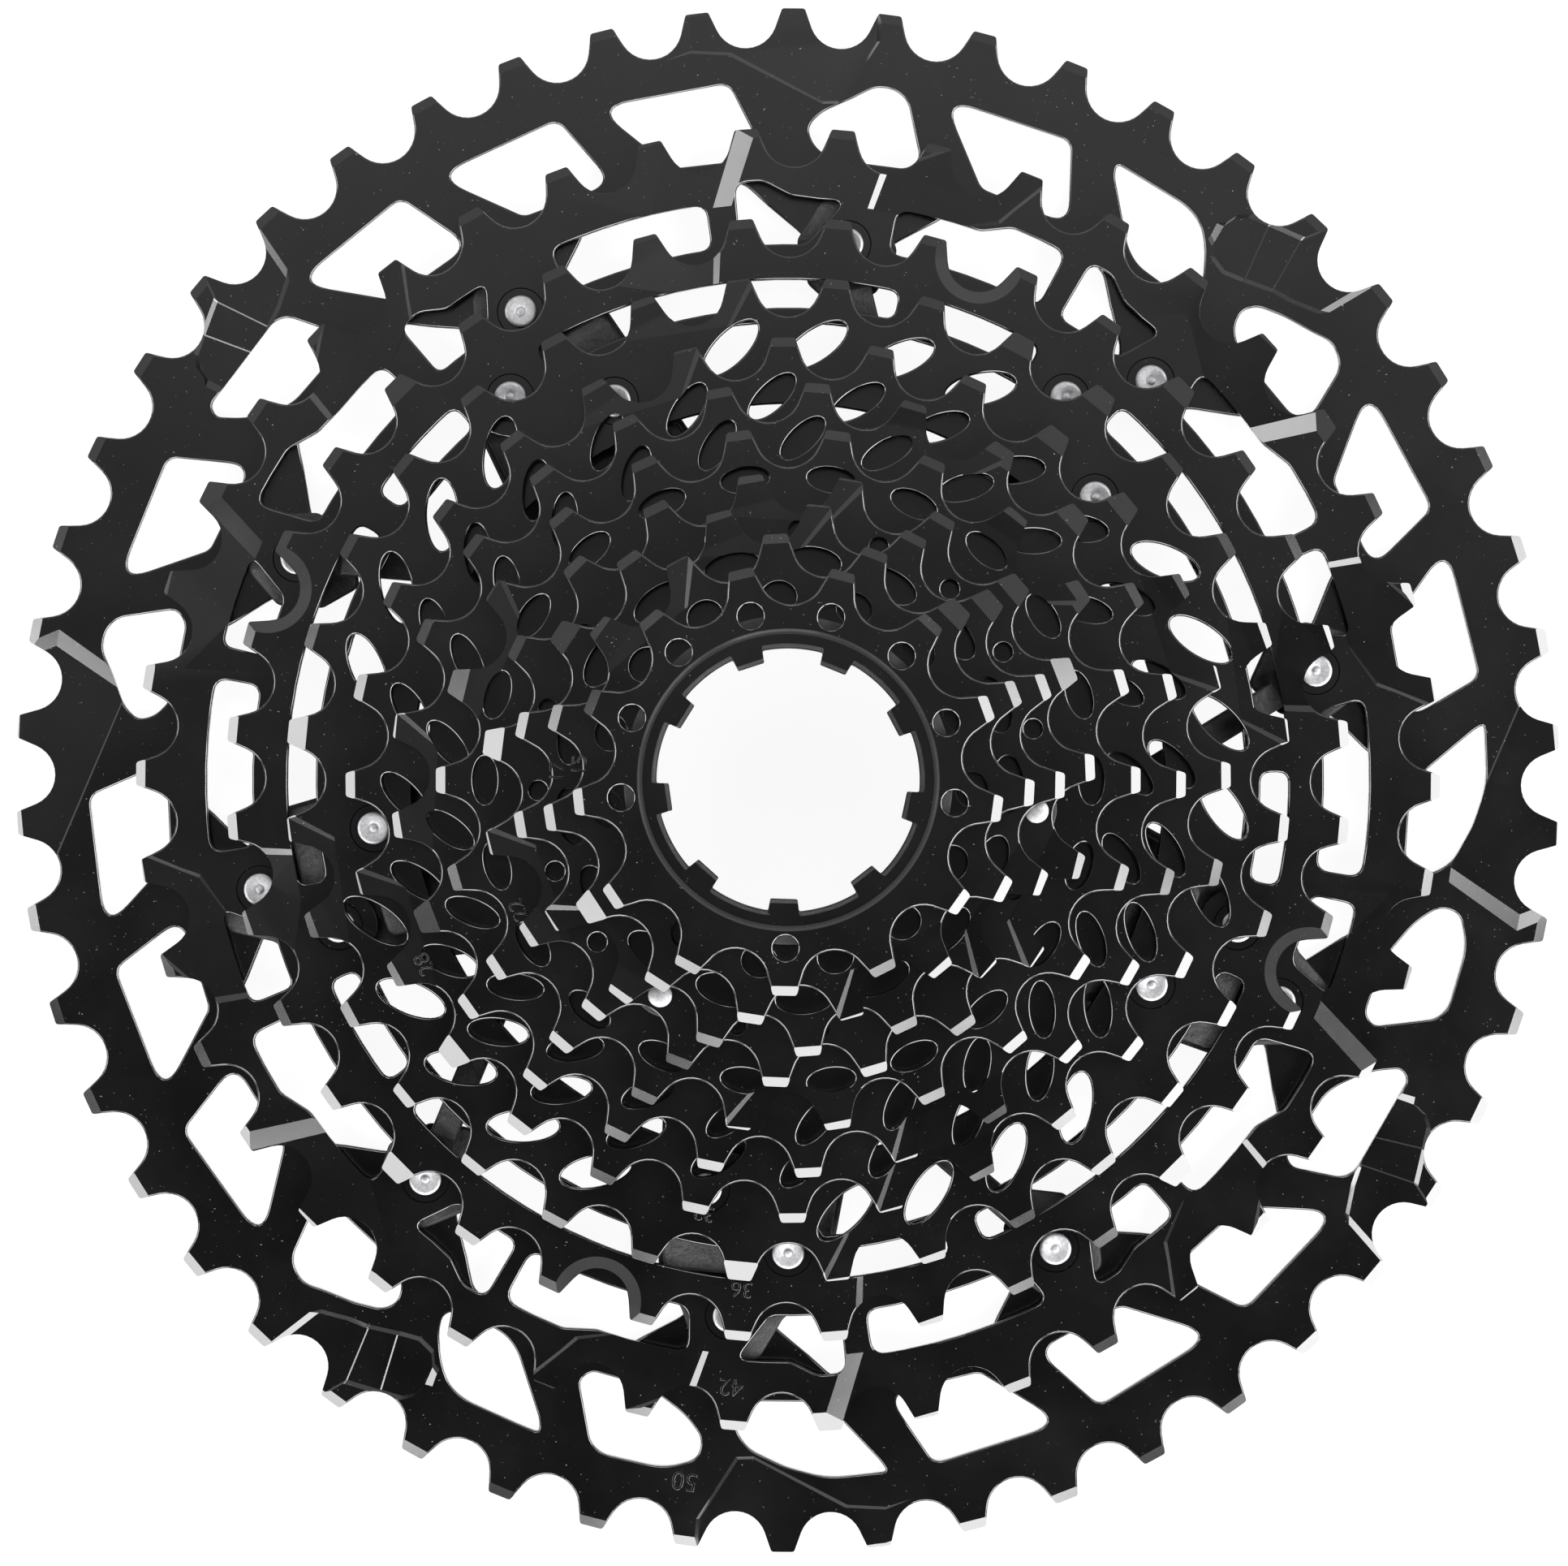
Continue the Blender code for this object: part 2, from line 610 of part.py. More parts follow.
def make_spacers(material):
    """A ring in each gap of the stack that the spider doesn't fill."""
    order = [teeth for teeth, _ in SPROCKETS]
    for behind, ahead in zip(order, order[1:]):
        if behind not in PINNED_TEETH + LOOSE_TEETH:
            continue
        inner = circle_outline(Vector((0, 0)), SPACER_INNER, SPACER_POINTS)
        if ahead in PINNED_TEETH:
            loops = [eared_outline(), inner] + pin_holes()
        else:
            loops = [circle_outline(Vector((0, 0)), SPACER_OUTER, SPACER_POINTS), inner]
        extrude(f"spacer_{behind}t_{ahead}t", loops, front_of(behind) + FACE_GAP,
                back_of(ahead) - FACE_GAP, material, PARTS)


PARTS, CUTTERS = clear_scene()
CAST = metal("cast_black", (0.010, 0.010, 0.010), 0.75, 0.2)
RIVET_STEEL = metal("rivet_steel", (0.60, 0.60, 0.61), 0.30, 1.0)
SPACER_BLACK = metal("spacer_black", (0.015, 0.015, 0.016), 0.5, 0.3)
make_sprockets()
make_spider(CAST)
make_rivets(RIVET_STEEL)
make_pins(RIVET_STEEL)
make_spacers(SPACER_BLACK)
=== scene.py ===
"""Looks of the cassette sprocket cluster: fine plates, spider, rivets, materials, light and camera.

Shapes are worked out in millimetres around the hub axis and scaled to metres at the end.
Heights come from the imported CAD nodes.
"""
from math import acos, asin, atan2, ceil, cos, degrees, pi, radians, sin, tan, tau

import bmesh
import bpy
from mathutils import Matrix, Vector
from mathutils.geometry import tessellate_polygon


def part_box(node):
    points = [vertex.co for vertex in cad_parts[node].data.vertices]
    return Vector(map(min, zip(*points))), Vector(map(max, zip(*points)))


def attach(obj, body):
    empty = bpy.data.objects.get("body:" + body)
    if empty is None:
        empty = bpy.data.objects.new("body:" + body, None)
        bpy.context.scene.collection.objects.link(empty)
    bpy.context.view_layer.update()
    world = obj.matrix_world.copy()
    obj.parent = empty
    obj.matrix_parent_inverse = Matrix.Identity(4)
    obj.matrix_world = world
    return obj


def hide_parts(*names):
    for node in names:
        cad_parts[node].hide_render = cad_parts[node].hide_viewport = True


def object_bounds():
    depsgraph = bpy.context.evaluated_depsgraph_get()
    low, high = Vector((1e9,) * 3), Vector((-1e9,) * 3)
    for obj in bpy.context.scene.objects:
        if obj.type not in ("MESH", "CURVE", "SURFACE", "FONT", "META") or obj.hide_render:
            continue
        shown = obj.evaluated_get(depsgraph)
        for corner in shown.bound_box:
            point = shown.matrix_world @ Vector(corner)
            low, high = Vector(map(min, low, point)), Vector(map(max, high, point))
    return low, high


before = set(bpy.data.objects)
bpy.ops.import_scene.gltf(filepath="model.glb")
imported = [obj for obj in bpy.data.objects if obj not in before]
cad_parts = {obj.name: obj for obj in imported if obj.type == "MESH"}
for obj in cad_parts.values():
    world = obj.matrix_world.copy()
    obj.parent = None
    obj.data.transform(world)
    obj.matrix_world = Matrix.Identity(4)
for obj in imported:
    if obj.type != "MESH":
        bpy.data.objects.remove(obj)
cad_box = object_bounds()

MM = 0.001

# ---- sizes shared with the design, in millimetres ----
CHAIN_PITCH = 12.7
ROLLER_SEAT = 4.2
TIP_ABOVE_PITCH = 0.95
TIP_HALF_WIDTH = 1.5
TIP_CORNER = 0.45
SEAT_SWEEP = 66.0               # degrees of roller seat on each side of a gullet's bottom
# Number of teeth and the angle of one tooth's centre line, from the largest sprocket up.
TOOTH_ANGLE = {50: 3.2, 42: 8.0, 36: 4.8, 32: 5.67, 28: 0.6, 25: 13.74,
               22: 0.0, 19: 2.38, 17: 20.09, 15: 20.99, 13: 19.84}
BODY_OF = {17: "loose_17t", 15: "loose_15t", 13: "loose_13t"}

SPLINES = (9, 348.0)            # number of splines and the angle of the first
SPLINE_ROOT = 17.4
SPLINE_TIP = 15.8
SPLINE_HALF_WIDTH = 1.8
SPLINE_FLARE = 0.25             # how much wider a spline is at its root, on each side
SPLINE_CORNER = 0.25
SPLINE_FILLET_ANGLE = 2.0       # degrees kept on each side of a spline for its root fillet

# Circle radius, number and angle of the first.
OUTER_RIVETS = (71.0, 10, 11.7)
MIDDLE_RIVETS = (62.0, 5, 54.0)
INNER_RIVETS = (54.5, 5, 42.6)
# Each circle of rivets with the plate that its heads lie on.
RIVET_CIRCLES = {"outer": (OUTER_RIVETS, 42), "middle": (MIDDLE_RIVETS, 36), "inner": (INNER_RIVETS, 32)}
RIVET_HOLE = 1.9
RIVET_HEAD = 2.12
RIVET_SHANK = 1.6
HEAD_HEIGHT = 0.5
RECESS_RADIUS = 3.2
RECESS_DEPTH = 0.25
RECESS_FLARE = 0.15
RECESS_RISE = 0.3

PINNED_FROM = 19                # the pins hold the plates with this many teeth and more
PIN_CIRCLE = 32.2
PIN_SLOTS = (0, 6, 13)          # which of the 19-tooth plate's gullets carry a pin
PIN_HOLE = 1.3
PIN_HEAD = 1.58
PIN_SHANK = 1.0

EDGE = 0.20                     # rounding of stamped edges
CAST_EDGE = 0.35                # rounding of the casting's steps


# ---- heights from the frame ----
def back_of(node):
    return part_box(node)[0].z / MM


def front_of(node):
    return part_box(node)[1].z / MM


# ---- plane geometry ----
def polar(radius, angle):
    """The point at a radius and an angle in degrees."""
    return Vector((radius * cos(radians(angle)), radius * sin(radians(angle))))


def half_angle(half_width, radius):
    """The angle that half a width takes up at a radius."""
    return degrees(asin(half_width / radius))


def spread(first, count):
    """Even angles all the way round."""
    return [first + 360.0 * i / count for i in range(count)]


def pitch_radius(teeth):
    """The radius on which the chain's rollers sit."""
    return CHAIN_PITCH / (2 * sin(pi / teeth))


def rounded(corners, radius, steps=5):
    """A closed outline through some corners, each eased to about a radius."""
    points = []
    count = len(corners)
    for i, corner in enumerate(corners):
        size = radius[i] if isinstance(radius, (list, tuple)) else radius
        before = corners[i - 1] - corner
        after = corners[(i + 1) % count] - corner
        half = before.angle(after) / 2
        reach = min(size / tan(half), 0.48 * before.length, 0.48 * after.length)
        start = corner + before.normalized() * reach
        end = corner + after.normalized() * reach
        for step in range(steps + 1):
            t = step / steps
            points.append((1 - t) ** 2 * start + 2 * t * (1 - t) * corner + t * t * end)
    return points


def circle(radius, count=96, centre=Vector((0, 0))):
    return [centre + polar(radius, angle) for angle in spread(0.0, count)]


def arc(radius, start, end, step=3.0):
    count = max(1, ceil(abs(end - start) / step))
    return [polar(radius, start + (end - start) * i / count) for i in range(count + 1)]


def signed_area(loop):
    """A loop's area, which is positive where it runs anticlockwise."""
    return sum(a.x * b.y - b.x * a.y for a, b in zip(loop, loop[1:] + loop[:1])) / 2


def inset(loop, distance):
    """The loop moved to its left by a distance, which is into the material."""
    moved = []
    count = len(loop)
    for i, point in enumerate(loop):
        before = (point - loop[i - 1]).normalized()
        after = (loop[(i + 1) % count] - point).normalized()
        left = Vector((-before.y - after.y, before.x + after.x))
        bisector = left.normalized()
        share = max(0.4, bisector.dot(Vector((-after.y, after.x))))
        moved.append(point + bisector * distance / share)
    return moved


def without_repeats(loop):
    """The loop without points that all but touch the one before."""
    kept = []
    for point in loop:
        if not kept or (point - kept[-1]).length > 0.02:
            kept.append(point)
    if (kept[0] - kept[-1]).length <= 0.02:
        kept.pop()
    return kept


# ---- outlines ----
def tooth_outline(teeth):
    """Roller seats joined by teeth with rounded tips."""
    radius = pitch_radius(teeth)
    tip = radius + TIP_ABOVE_PITCH
    points = []
    for tooth in spread(TOOTH_ANGLE[teeth], teeth):
        gullet = tooth - 180.0 / teeth
        seat = polar(radius, gullet)
        sweep = [SEAT_SWEEP * (i / 6 - 1) for i in range(13)]
        seat_points = [seat - polar(ROLLER_SEAT, gullet - turn) for turn in sweep]
        points += seat_points
        turn = half_angle(TIP_HALF_WIDTH, tip)
        flank = seat_points[-1]
        mirrored = polar(flank.length, 2 * tooth - degrees(atan2(flank.y, flank.x)))
        corners = [flank, polar(tip, tooth - turn), polar(tip, tooth + turn), mirrored]
        steps = 4
        points += rounded(corners, TIP_CORNER, steps)[steps + 1:3 * (steps + 1)]
    return points


def spline_outline():
    """A bore whose splines reach in from the root circle, each with rounded corners."""
    root_turn = half_angle(SPLINE_HALF_WIDTH + SPLINE_FLARE, SPLINE_ROOT)
    tip_turn = half_angle(SPLINE_HALF_WIDTH, SPLINE_TIP)
    end_turn = root_turn + SPLINE_FILLET_ANGLE
    points = []
    count, first = SPLINES
    for angle in spread(first, count):
        corners = [polar(SPLINE_ROOT, angle - end_turn), polar(SPLINE_ROOT, angle - root_turn),
                   polar(SPLINE_TIP, angle - tip_turn), polar(SPLINE_TIP, angle + tip_turn),
                   polar(SPLINE_ROOT, angle + root_turn), polar(SPLINE_ROOT, angle + end_turn)]
        steps = 3
        points += rounded(corners, SPLINE_CORNER, steps)[steps + 1:5 * (steps + 1)]
        points += arc(SPLINE_ROOT, angle + end_turn, angle + 360.0 / count - end_turn, 2.5)
    return points


def ellipse(radius, angle, half_length, half_width, tilt=0.0, count=40):
    """An oval window; its long axis leaves the clockwise tangent by the tilt."""
    along = polar(1.0, angle - 90.0 + tilt)
    across = polar(1.0, angle + tilt)
    centre = polar(radius, angle)
    return [centre + half_length * cos(radians(turn)) * along + half_width * sin(radians(turn)) * across
            for turn in spread(0.0, count)]


# ---- meshes ----
# Limits of the crease test: turns in degrees, the upright part of a face's normal, area in mm2.
CREASE_TURN = 35.0
RIM_TURN = 2.0
FOLD_TURN = 4.0
STEP_TURN = 10.0
FLAT_LEVEL = 0.9999
WALL_LEVEL = 0.2
LARGE_FACE = 0.4
TURNED_CREASE = 40.0             # for the rivets and pins


def linked(name, data):
    """A new object in the scene."""
    thing = bpy.data.objects.new(name, data)
    bpy.context.scene.collection.objects.link(thing)
    return thing


def mesh_object(name, verts, faces):
    mesh = bpy.data.meshes.new(name)
    mesh.from_pydata([tuple(v) for v in verts], [], faces)
    mesh.update()
    return linked(name, mesh)


def evaluated_mesh(thing):
    """The mesh that an object's modifiers or text settings lead to."""
    bpy.context.view_layer.update()
    evaluated = thing.evaluated_get(bpy.context.evaluated_depsgraph_get())
    return bpy.data.meshes.new_from_object(evaluated)


def close_up(mesh):
    """Fill slits that the flat filling leaves beside points in line, and turn all faces outwards."""
    edit = bmesh.new()
    edit.from_mesh(mesh)
    open_edges = [edge for edge in edit.edges if edge.is_boundary]
    if open_edges:
        bmesh.ops.holes_fill(edit, edges=open_edges, sides=0)
    bmesh.ops.recalc_face_normals(edit, faces=edit.faces)
    if edit.calc_volume(signed=True) < 0:
        bmesh.ops.reverse_faces(edit, faces=edit.faces)
    edit.to_mesh(mesh)
    edit.free()


def weld(mesh):
    """Join the points that a text outline leaves double."""
    edit = bmesh.new()
    edit.from_mesh(mesh)
    bmesh.ops.remove_doubles(edit, verts=edit.verts, dist=0.001)
    edit.to_mesh(mesh)
    edit.free()


def bands(first, rows, count):
    """Faces between neighbouring rows of points, each row a closed ring."""
    faces = []
    for a in range(first, first + (rows - 1) * count, count):
        b = a + count
        faces += [(a + i, a + (i + 1) % count, b + (i + 1) % count, b + i) for i in range(count)]
    return faces


def tube_faces(rows, count):
    """The bands of a tube and its two ends."""
    ends = [tuple(reversed(range(count))), tuple(range((rows - 1) * count, rows * count))]
    return bands(0, rows, count) + ends


def plate(name, loops, back, front, edge=EDGE, steps=3):
    """A flat plate with rounded edges; the first loop is its outline, the others are cut out."""
    oriented = []
    for index, loop in enumerate(loops):
        loop = without_repeats(loop)
        is_outline = index == 0
        if (signed_area(loop) > 0) != is_outline:
            loop.reverse()
        oriented.append(loop)
    rings = []
    for i in range(steps + 1):
        turn = radians(90.0 * i / steps)
        rings.append((edge * (1 - sin(turn)), back + edge * (1 - cos(turn))))
    rings += [(offset, front - (height - back)) for offset, height in reversed(rings)]
    verts, faces, caps = [], [], ([], [])
    for loop in oriented:
        count = len(loop)
        first = len(verts)
        for offset, height in rings:
            moved = inset(loop, offset) if offset > 1e-9 else loop
            verts += [(p.x, p.y, height) for p in moved]
        faces += bands(first, len(rings), count)
        caps[0].append(range(first, first + count))
        last = first + (len(rings) - 1) * count
        caps[1].append(range(last, last + count))
    for indices in caps:
        flat = [i for loop in indices for i in loop]
        shape = [[Vector((verts[i][0], verts[i][1], 0)) for i in loop] for loop in indices]
        faces += [tuple(flat[i] for i in triangle) for triangle in tessellate_polygon(shape)]
    piece = mesh_object(name, verts, faces)
    close_up(piece.data)
    return piece


def turned(name, profile, centre=Vector((0, 0)), sides=64):
    """A solid of revolution from (radius, height) pairs that run from the bottom to the top."""
    verts = []
    turns = [tau * i / sides for i in range(sides)]
    for radius, height in profile:
        verts += [(centre.x + radius * cos(turn), centre.y + radius * sin(turn), height) for turn in turns]
    return mesh_object(name, verts, tube_faces(len(profile), sides))


def joined(name, pieces):
    """One object holding several closed meshes, each turned the right way out."""
    edit = bmesh.new()
    for piece in pieces:
        close_up(piece.data)
        edit.from_mesh(piece.data)
        bpy.data.objects.remove(piece, do_unlink=True)
    mesh = bpy.data.meshes.new(name)
    edit.to_mesh(mesh)
    edit.free()
    return linked(name, mesh)


def boolean(piece, tool, operation="DIFFERENCE"):
    """Cut a tool from a piece, or add it, and remove the tool."""
    modifier = piece.modifiers.new("cut", "BOOLEAN")
    modifier.operation = operation
    modifier.solver = "MANIFOLD"
    modifier.object = tool
    mesh = evaluated_mesh(piece)
    piece.modifiers.clear()
    piece.data = mesh
    bpy.data.objects.remove(tool, do_unlink=True)


def is_crease(edge, angle):
    """Whether shading breaks at an edge: steep edges, rims of flats, and folds beside large faces."""
    if len(edge.link_faces) != 2:
        return True
    turn = degrees(edge.calc_face_angle(0.0))
    if turn > angle:
        return True
    levels = [abs(face.normal.z) for face in edge.link_faces]
    if max(levels) > FLAT_LEVEL and turn > RIM_TURN:
        return True
    areas = [face.calc_area() for face in edge.link_faces]
    wide = turn > FOLD_TURN and min(areas) > LARGE_FACE
    steep = turn > STEP_TURN and max(areas) > LARGE_FACE
    return min(levels) > WALL_LEVEL and (wide or steep)


def finish_piece(piece, body, material, nodes, angle=CREASE_TURN):
    """Shade, scale to metres, dress and hand one piece to its body."""
    edit = bmesh.new()
    edit.from_mesh(piece.data)
    edit.normal_update()
    for face in edit.faces:
        face.smooth = True
    for edge in edit.edges:
        edge.smooth = not is_crease(edge, angle)
    edit.to_mesh(piece.data)
    edit.free()
    piece.data.transform(Matrix.Scale(MM, 4))
    piece.data.materials.clear()
    piece.data.materials.append(material)
    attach(piece, body)
    if nodes:
        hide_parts(*nodes)


# ---- cutters ----
CUTTER_RISE = 1.0                # how far a chamfer's cutter stands above the face
FEATURE_RISE = 0.6               # the same for ramps, folds and pockets
CLEAR = 0.01                     # cutters end this far above a face where their depth is nought


def patch(points, faces, front):
    """A cutter whose underside is a folded surface through (radius, angle, depth) points."""
    places = [polar(radius, angle) for radius, angle, _ in points]
    floor = [(p.x, p.y, front - (depth if depth > 0 else -CLEAR))
             for p, (_, _, depth) in zip(places, points)]
    roof = [(p.x, p.y, front + FEATURE_RISE) for p in places]
    count = len(points)
    edges = [pair for face in faces for pair in zip(face, face[1:] + face[:1])]
    sides = [(a, b, b + count, a + count) for a, b in edges if (b, a) not in edges]
    under = [tuple(reversed(face)) for face in faces]
    over = [tuple(i + count for i in face) for face in faces]
    return mesh_object("patch", floor + roof, under + over + sides)


def tip_chamfer(teeth, tooth, front, reach, depth, half_width=2.4):
    """A wedge that slopes a tooth's tip down at the front."""
    tip = pitch_radius(teeth) + TIP_ABOVE_PITCH
    out = polar(1.0, tooth)
    across = Vector((-out.y, out.x))
    beyond = 1.0
    slope = depth / reach
    section = [(tip - reach, front), (tip + beyond, front - slope * (reach + beyond)),
               (tip + beyond, front + CUTTER_RISE), (tip - reach, front + CUTTER_RISE)]
    verts = []
    for side in (-half_width, half_width):
        for radius, height in section:
            place = out * radius + across * side
            verts.append((place.x, place.y, height))
    faces = [(3, 2, 1, 0), (4, 5, 6, 7), (1, 5, 4, 0), (2, 6, 5, 1), (3, 7, 6, 2), (0, 4, 7, 3)]
    return mesh_object("tip", verts, faces)


# ---- materials ----
def node_material(name):
    material = bpy.data.materials.new(name)
    material.use_nodes = True
    tree = material.node_tree
    return material, tree, tree.nodes["Principled BSDF"]


def with_inputs(node, values):
    """A shader node with some of its inputs set."""
    for socket, value in values.items():
        node.inputs[socket].default_value = value
    return node


def noise(tree, scale, detail=4.0, roughness=0.6):
    """A noise signal over object space, which the pieces share."""
    place = tree.nodes.new("ShaderNodeTexCoord")
    texture = with_inputs(tree.nodes.new("ShaderNodeTexNoise"),
                          {"Scale": scale, "Detail": detail, "Roughness": roughness})
    tree.links.new(place.outputs["Object"], texture.inputs["Vector"])
    return texture.outputs["Fac"]


def remap(tree, source, low, high, to_low, to_high):
    """Map part of a 0 to 1 signal onto another span."""
    node = with_inputs(tree.nodes.new("ShaderNodeMapRange"),
                       {"From Min": low, "From Max": high, "To Min": to_low, "To Max": to_high})
    tree.links.new(source, node.inputs["Value"])
    return node.outputs["Result"]


def calculated(tree, operation, signal, value):
    """A signal combined with a number."""
    node = tree.nodes.new("ShaderNodeMath")
    node.operation = operation
    node.inputs[1].default_value = value
    tree.links.new(signal, node.inputs[0])
    return node.outputs["Value"]


def bump(tree, shader, heights, strength, distance):
    """Chain bump nodes for several (signal, strength share) pairs."""
    normal = None
    for signal, share in heights:
        node = tree.nodes.new("ShaderNodeBump")
        node.inputs["Strength"].default_value = strength * share
        node.inputs["Distance"].default_value = distance
        tree.links.new(signal, node.inputs["Height"])
        if normal:
            tree.links.new(normal, node.inputs["Normal"])
        normal = node.outputs["Normal"]
    tree.links.new(normal, shader.inputs["Normal"])


def grained(name, grain, span, dark, light, values):
    """A material whose colour runs from dark to light over part of a grain's span."""
    material, tree, shader = node_material(name)
    signal = noise(tree, *grain)
    mix = tree.nodes.new("ShaderNodeMix")
    mix.data_type = "RGBA"
    with_inputs(mix, {"A": (*dark, 1.0), "B": (*light, 1.0)})
    tree.links.new(remap(tree, signal, *span, 0.0, 1.0), mix.inputs["Factor"])
    tree.links.new(mix.outputs["Result"], shader.inputs["Base Color"])
    with_inputs(shader, values)
    return material, tree, shader, signal


def coated_steel():
    """Black electrophoretic coat on stamped steel: satin, with fine pale specks in its colour that are
    painted glints.
    """
    material, tree, shader, _ = grained("coated_steel", (2600.0, 2.0, 0.5), (0.73, 0.77), COAT_COLOUR,
                                        PAINTED_GLINT_COLOUR, {"Metallic": 0.0, "Specular IOR Level": 0.85})
    cloud = noise(tree, 60.0)
    tree.links.new(remap(tree, cloud, 0.3, 0.7, 0.13, 0.18), shader.inputs["Roughness"])
    bump(tree, shader, [(cloud, 1.0)], 0.06, 0.00008)
    return material


def cast_alloy():
    """Rough black casting."""
    material, tree, shader, grain = grained("cast_alloy", (1400.0, 5.0, 0.7), (0.45, 0.75),
                                            (0.0025, 0.0025, 0.0027), (0.014, 0.014, 0.0145),
                                            {"Roughness": 0.55})
    lumps = noise(tree, 420.0, 3.0, 0.55)
    bump(tree, shader, [(grain, 0.7), (lumps, 1.0)], 0.7, 0.0003)
    return material


def bright_steel():
    """Spun steel of the rivet heads."""
    material, tree, shader, grain = grained("bright_steel", (2600.0, 3.0), (0.3, 0.7),
                                            (0.20, 0.20, 0.205), (0.32, 0.32, 0.33),
                                            {"Metallic": 1.0, "Roughness": 0.46})
    bump(tree, shader, [(grain, 1.0)], 0.15, 0.00005)
    return material


def matt_black():
    """Anodised spacers."""
    material, _, _, _ = grained("matt_black", (800.0, 3.0), (0.4, 0.7), (0.008, 0.008, 0.009),
                                (0.016, 0.016, 0.017), {"Roughness": 0.5})
    return material


COAT_COLOUR = (0.0006, 0.0006, 0.00065)
# Colour of the fine pale specks in the coat: painted glints that stand in for the coat's sparkle of light.
PAINTED_GLINT_COLOUR = (0.09, 0.09, 0.09)
STEEL = coated_steel()
CAST = cast_alloy()
BRIGHT = bright_steel()
SPACER = matt_black()


# ---- holes and webs of each plate ----
RING_INNER_50 = 79.3
RING_INNER_42 = 67.2
RING_INNER_36 = 60.0
RING_INNER_32 = 49.2

TAB_CLEAR_50 = 14.5              # degrees from a rivet to where the plain inner edge starts
# One side of a tab of the 50-tooth plate: radius, degrees from its rivet, corner.
TAB_EDGE_50 = ((RING_INNER_50, 12.5, 1.5), (79.2, 10.6, 3.0), (76.0, 8.3, 8.0), (72.0, 4.6, 5.0),
               (RING_INNER_42, 3.0, 1.8))

# Windows of the 50-tooth plate as (radius, angle) corners. Most are alike; the odd ones give their
# corners at their place on the plate, together with the angle where they start there.
FIRST_WINDOW_50 = 6.0
WINDOWS_50 = 25
EVEN_WINDOW_50 = ((82.3, -0.4), (92.4, 2.5), (92.4, 13.5), (82.3, 8.3))
EVEN_CORNERS_50 = (2.2, 1.9, 2.0, 2.2)
SHARP_CORNER = 125.0             # degrees; blunter corners only ease a curve
SHARP_RADIUS = 2.4
BLUNT_RADIUS = 12.0
POCKET_WINDOW_50 = ((82.3, 35.8), (84.5, 34.9), (91.4, 36.8), (92.4, 38.8), (91.2, 40.4), (89.8, 43.0),
                    (88.2, 45.3), (86.2, 46.0), (84.0, 45.4), (82.3, 43.6))
AFTER_POCKET_50 = ((82.3, 51.2), (84.0, 49.9), (86.2, 50.4), (89.4, 51.9), (91.6, 53.4), (92.4, 55.2),
                   (92.4, 61.9), (90.8, 61.6), (83.5, 57.4), (82.3, 55.8))
CUT_WINDOW_50 = ((82.3, 135.9), (84.0, 135.3), (90.2, 137.2), (91.1, 138.3), (91.1, 147.0), (89.6, 147.6),
                 (86.0, 146.2), (83.2, 143.8), (82.3, 142.4))
LOW_WINDOW_50 = ((82.3, 79.0), (84.0, 78.0), (91.2, 80.0), (92.4, 81.2), (92.4, 82.8), (90.6, 84.5),
                 (88.4, 87.2), (86.4, 88.3), (84.2, 87.8), (82.3, 86.2))
AFTER_FOLD_50 = ((82.3, 266.6), (84.0, 265.5), (86.2, 265.6), (88.6, 266.8), (90.8, 270.0), (92.4, 273.4),
                 (92.4, 278.4), (91.0, 278.0), (83.5, 274.2), (82.3, 272.8))
BEFORE_FOLD_50 = ((82.3, 338.4), (84.0, 337.6), (91.4, 340.2), (92.4, 341.4), (92.4, 346.6), (90.6, 349.2),
                  (87.8, 349.4), (85.0, 347.6), (82.3, 343.8))
ODD_WINDOWS_50 = {
    2: (POCKET_WINDOW_50, 34.8), 3: (AFTER_POCKET_50, 49.2),
    5: (LOW_WINDOW_50, 78.0), 9: (CUT_WINDOW_50, 135.6), 11: (LOW_WINDOW_50, 78.0),
    15: (POCKET_WINDOW_50, 34.8), 16: (AFTER_POCKET_50, 49.2), 17: (BEFORE_FOLD_50, 337.6),
    18: (AFTER_FOLD_50, 265.4), 22: (CUT_WINDOW_50, 135.6), 23: (BEFORE_FOLD_50, 337.6),
    24: (AFTER_FOLD_50, 265.4),
}

# Windows of the 42-tooth plate. Each row gives the clockwise end, the other end, and how far out the
# outer edge lies at each end.
WINDOW_INNER_42 = 70.6
WINDOW_OUTER_42 = 76.6
WINDOW_TRIM_42 = 0.4             # degrees taken off both ends
WINDOW_CORNER_42 = 2.0
WINDOW_EASE_42 = 3.0
DEEP_DROP_42 = 2.0               # how far a deep end's outer edge steps in, and over what share
DEEP_SHARE_42 = 0.35
DROP_SHARE_42 = 0.15
LONG_SPAN_42 = 14.0              # degrees
PAD_REACH_42 = 4.4               # degrees that a rivet's pad keeps a window's inner corner away
LONG_42 = ((97.8, 114.5, 76.6, 76.6), (61.8, 79.5, 78.5, 76.6), (25.5, 45.0, 78.0, 76.6),
           (-10.0, 8.5, 76.6, 76.6), (314.0, 333.0, 76.6, 78.5), (278.0, 297.0, 76.6, 76.6),
           (241.0, 260.5, 78.0, 76.6), (205.0, 224.5, 78.5, 76.6), (169.5, 187.5, 76.6, 76.6),
           (134.0, 153.0, 76.6, 79.0))
SHORT_42 = ((84.0, 95.5, 76.6, 79.0), (49.8, 60.0, 76.6, 79.0), (14.0, 24.0, 76.6, 76.6),
            (338.0, 348.0, 76.6, 76.6), (301.0, 312.0, 78.0, 76.6), (264.5, 276.0, 76.6, 78.5),
            (229.5, 240.0, 76.6, 79.0), (192.5, 203.0, 76.6, 76.6), (157.0, 167.0, 76.6, 76.6),
            (121.0, 131.0, 76.6, 78.5))

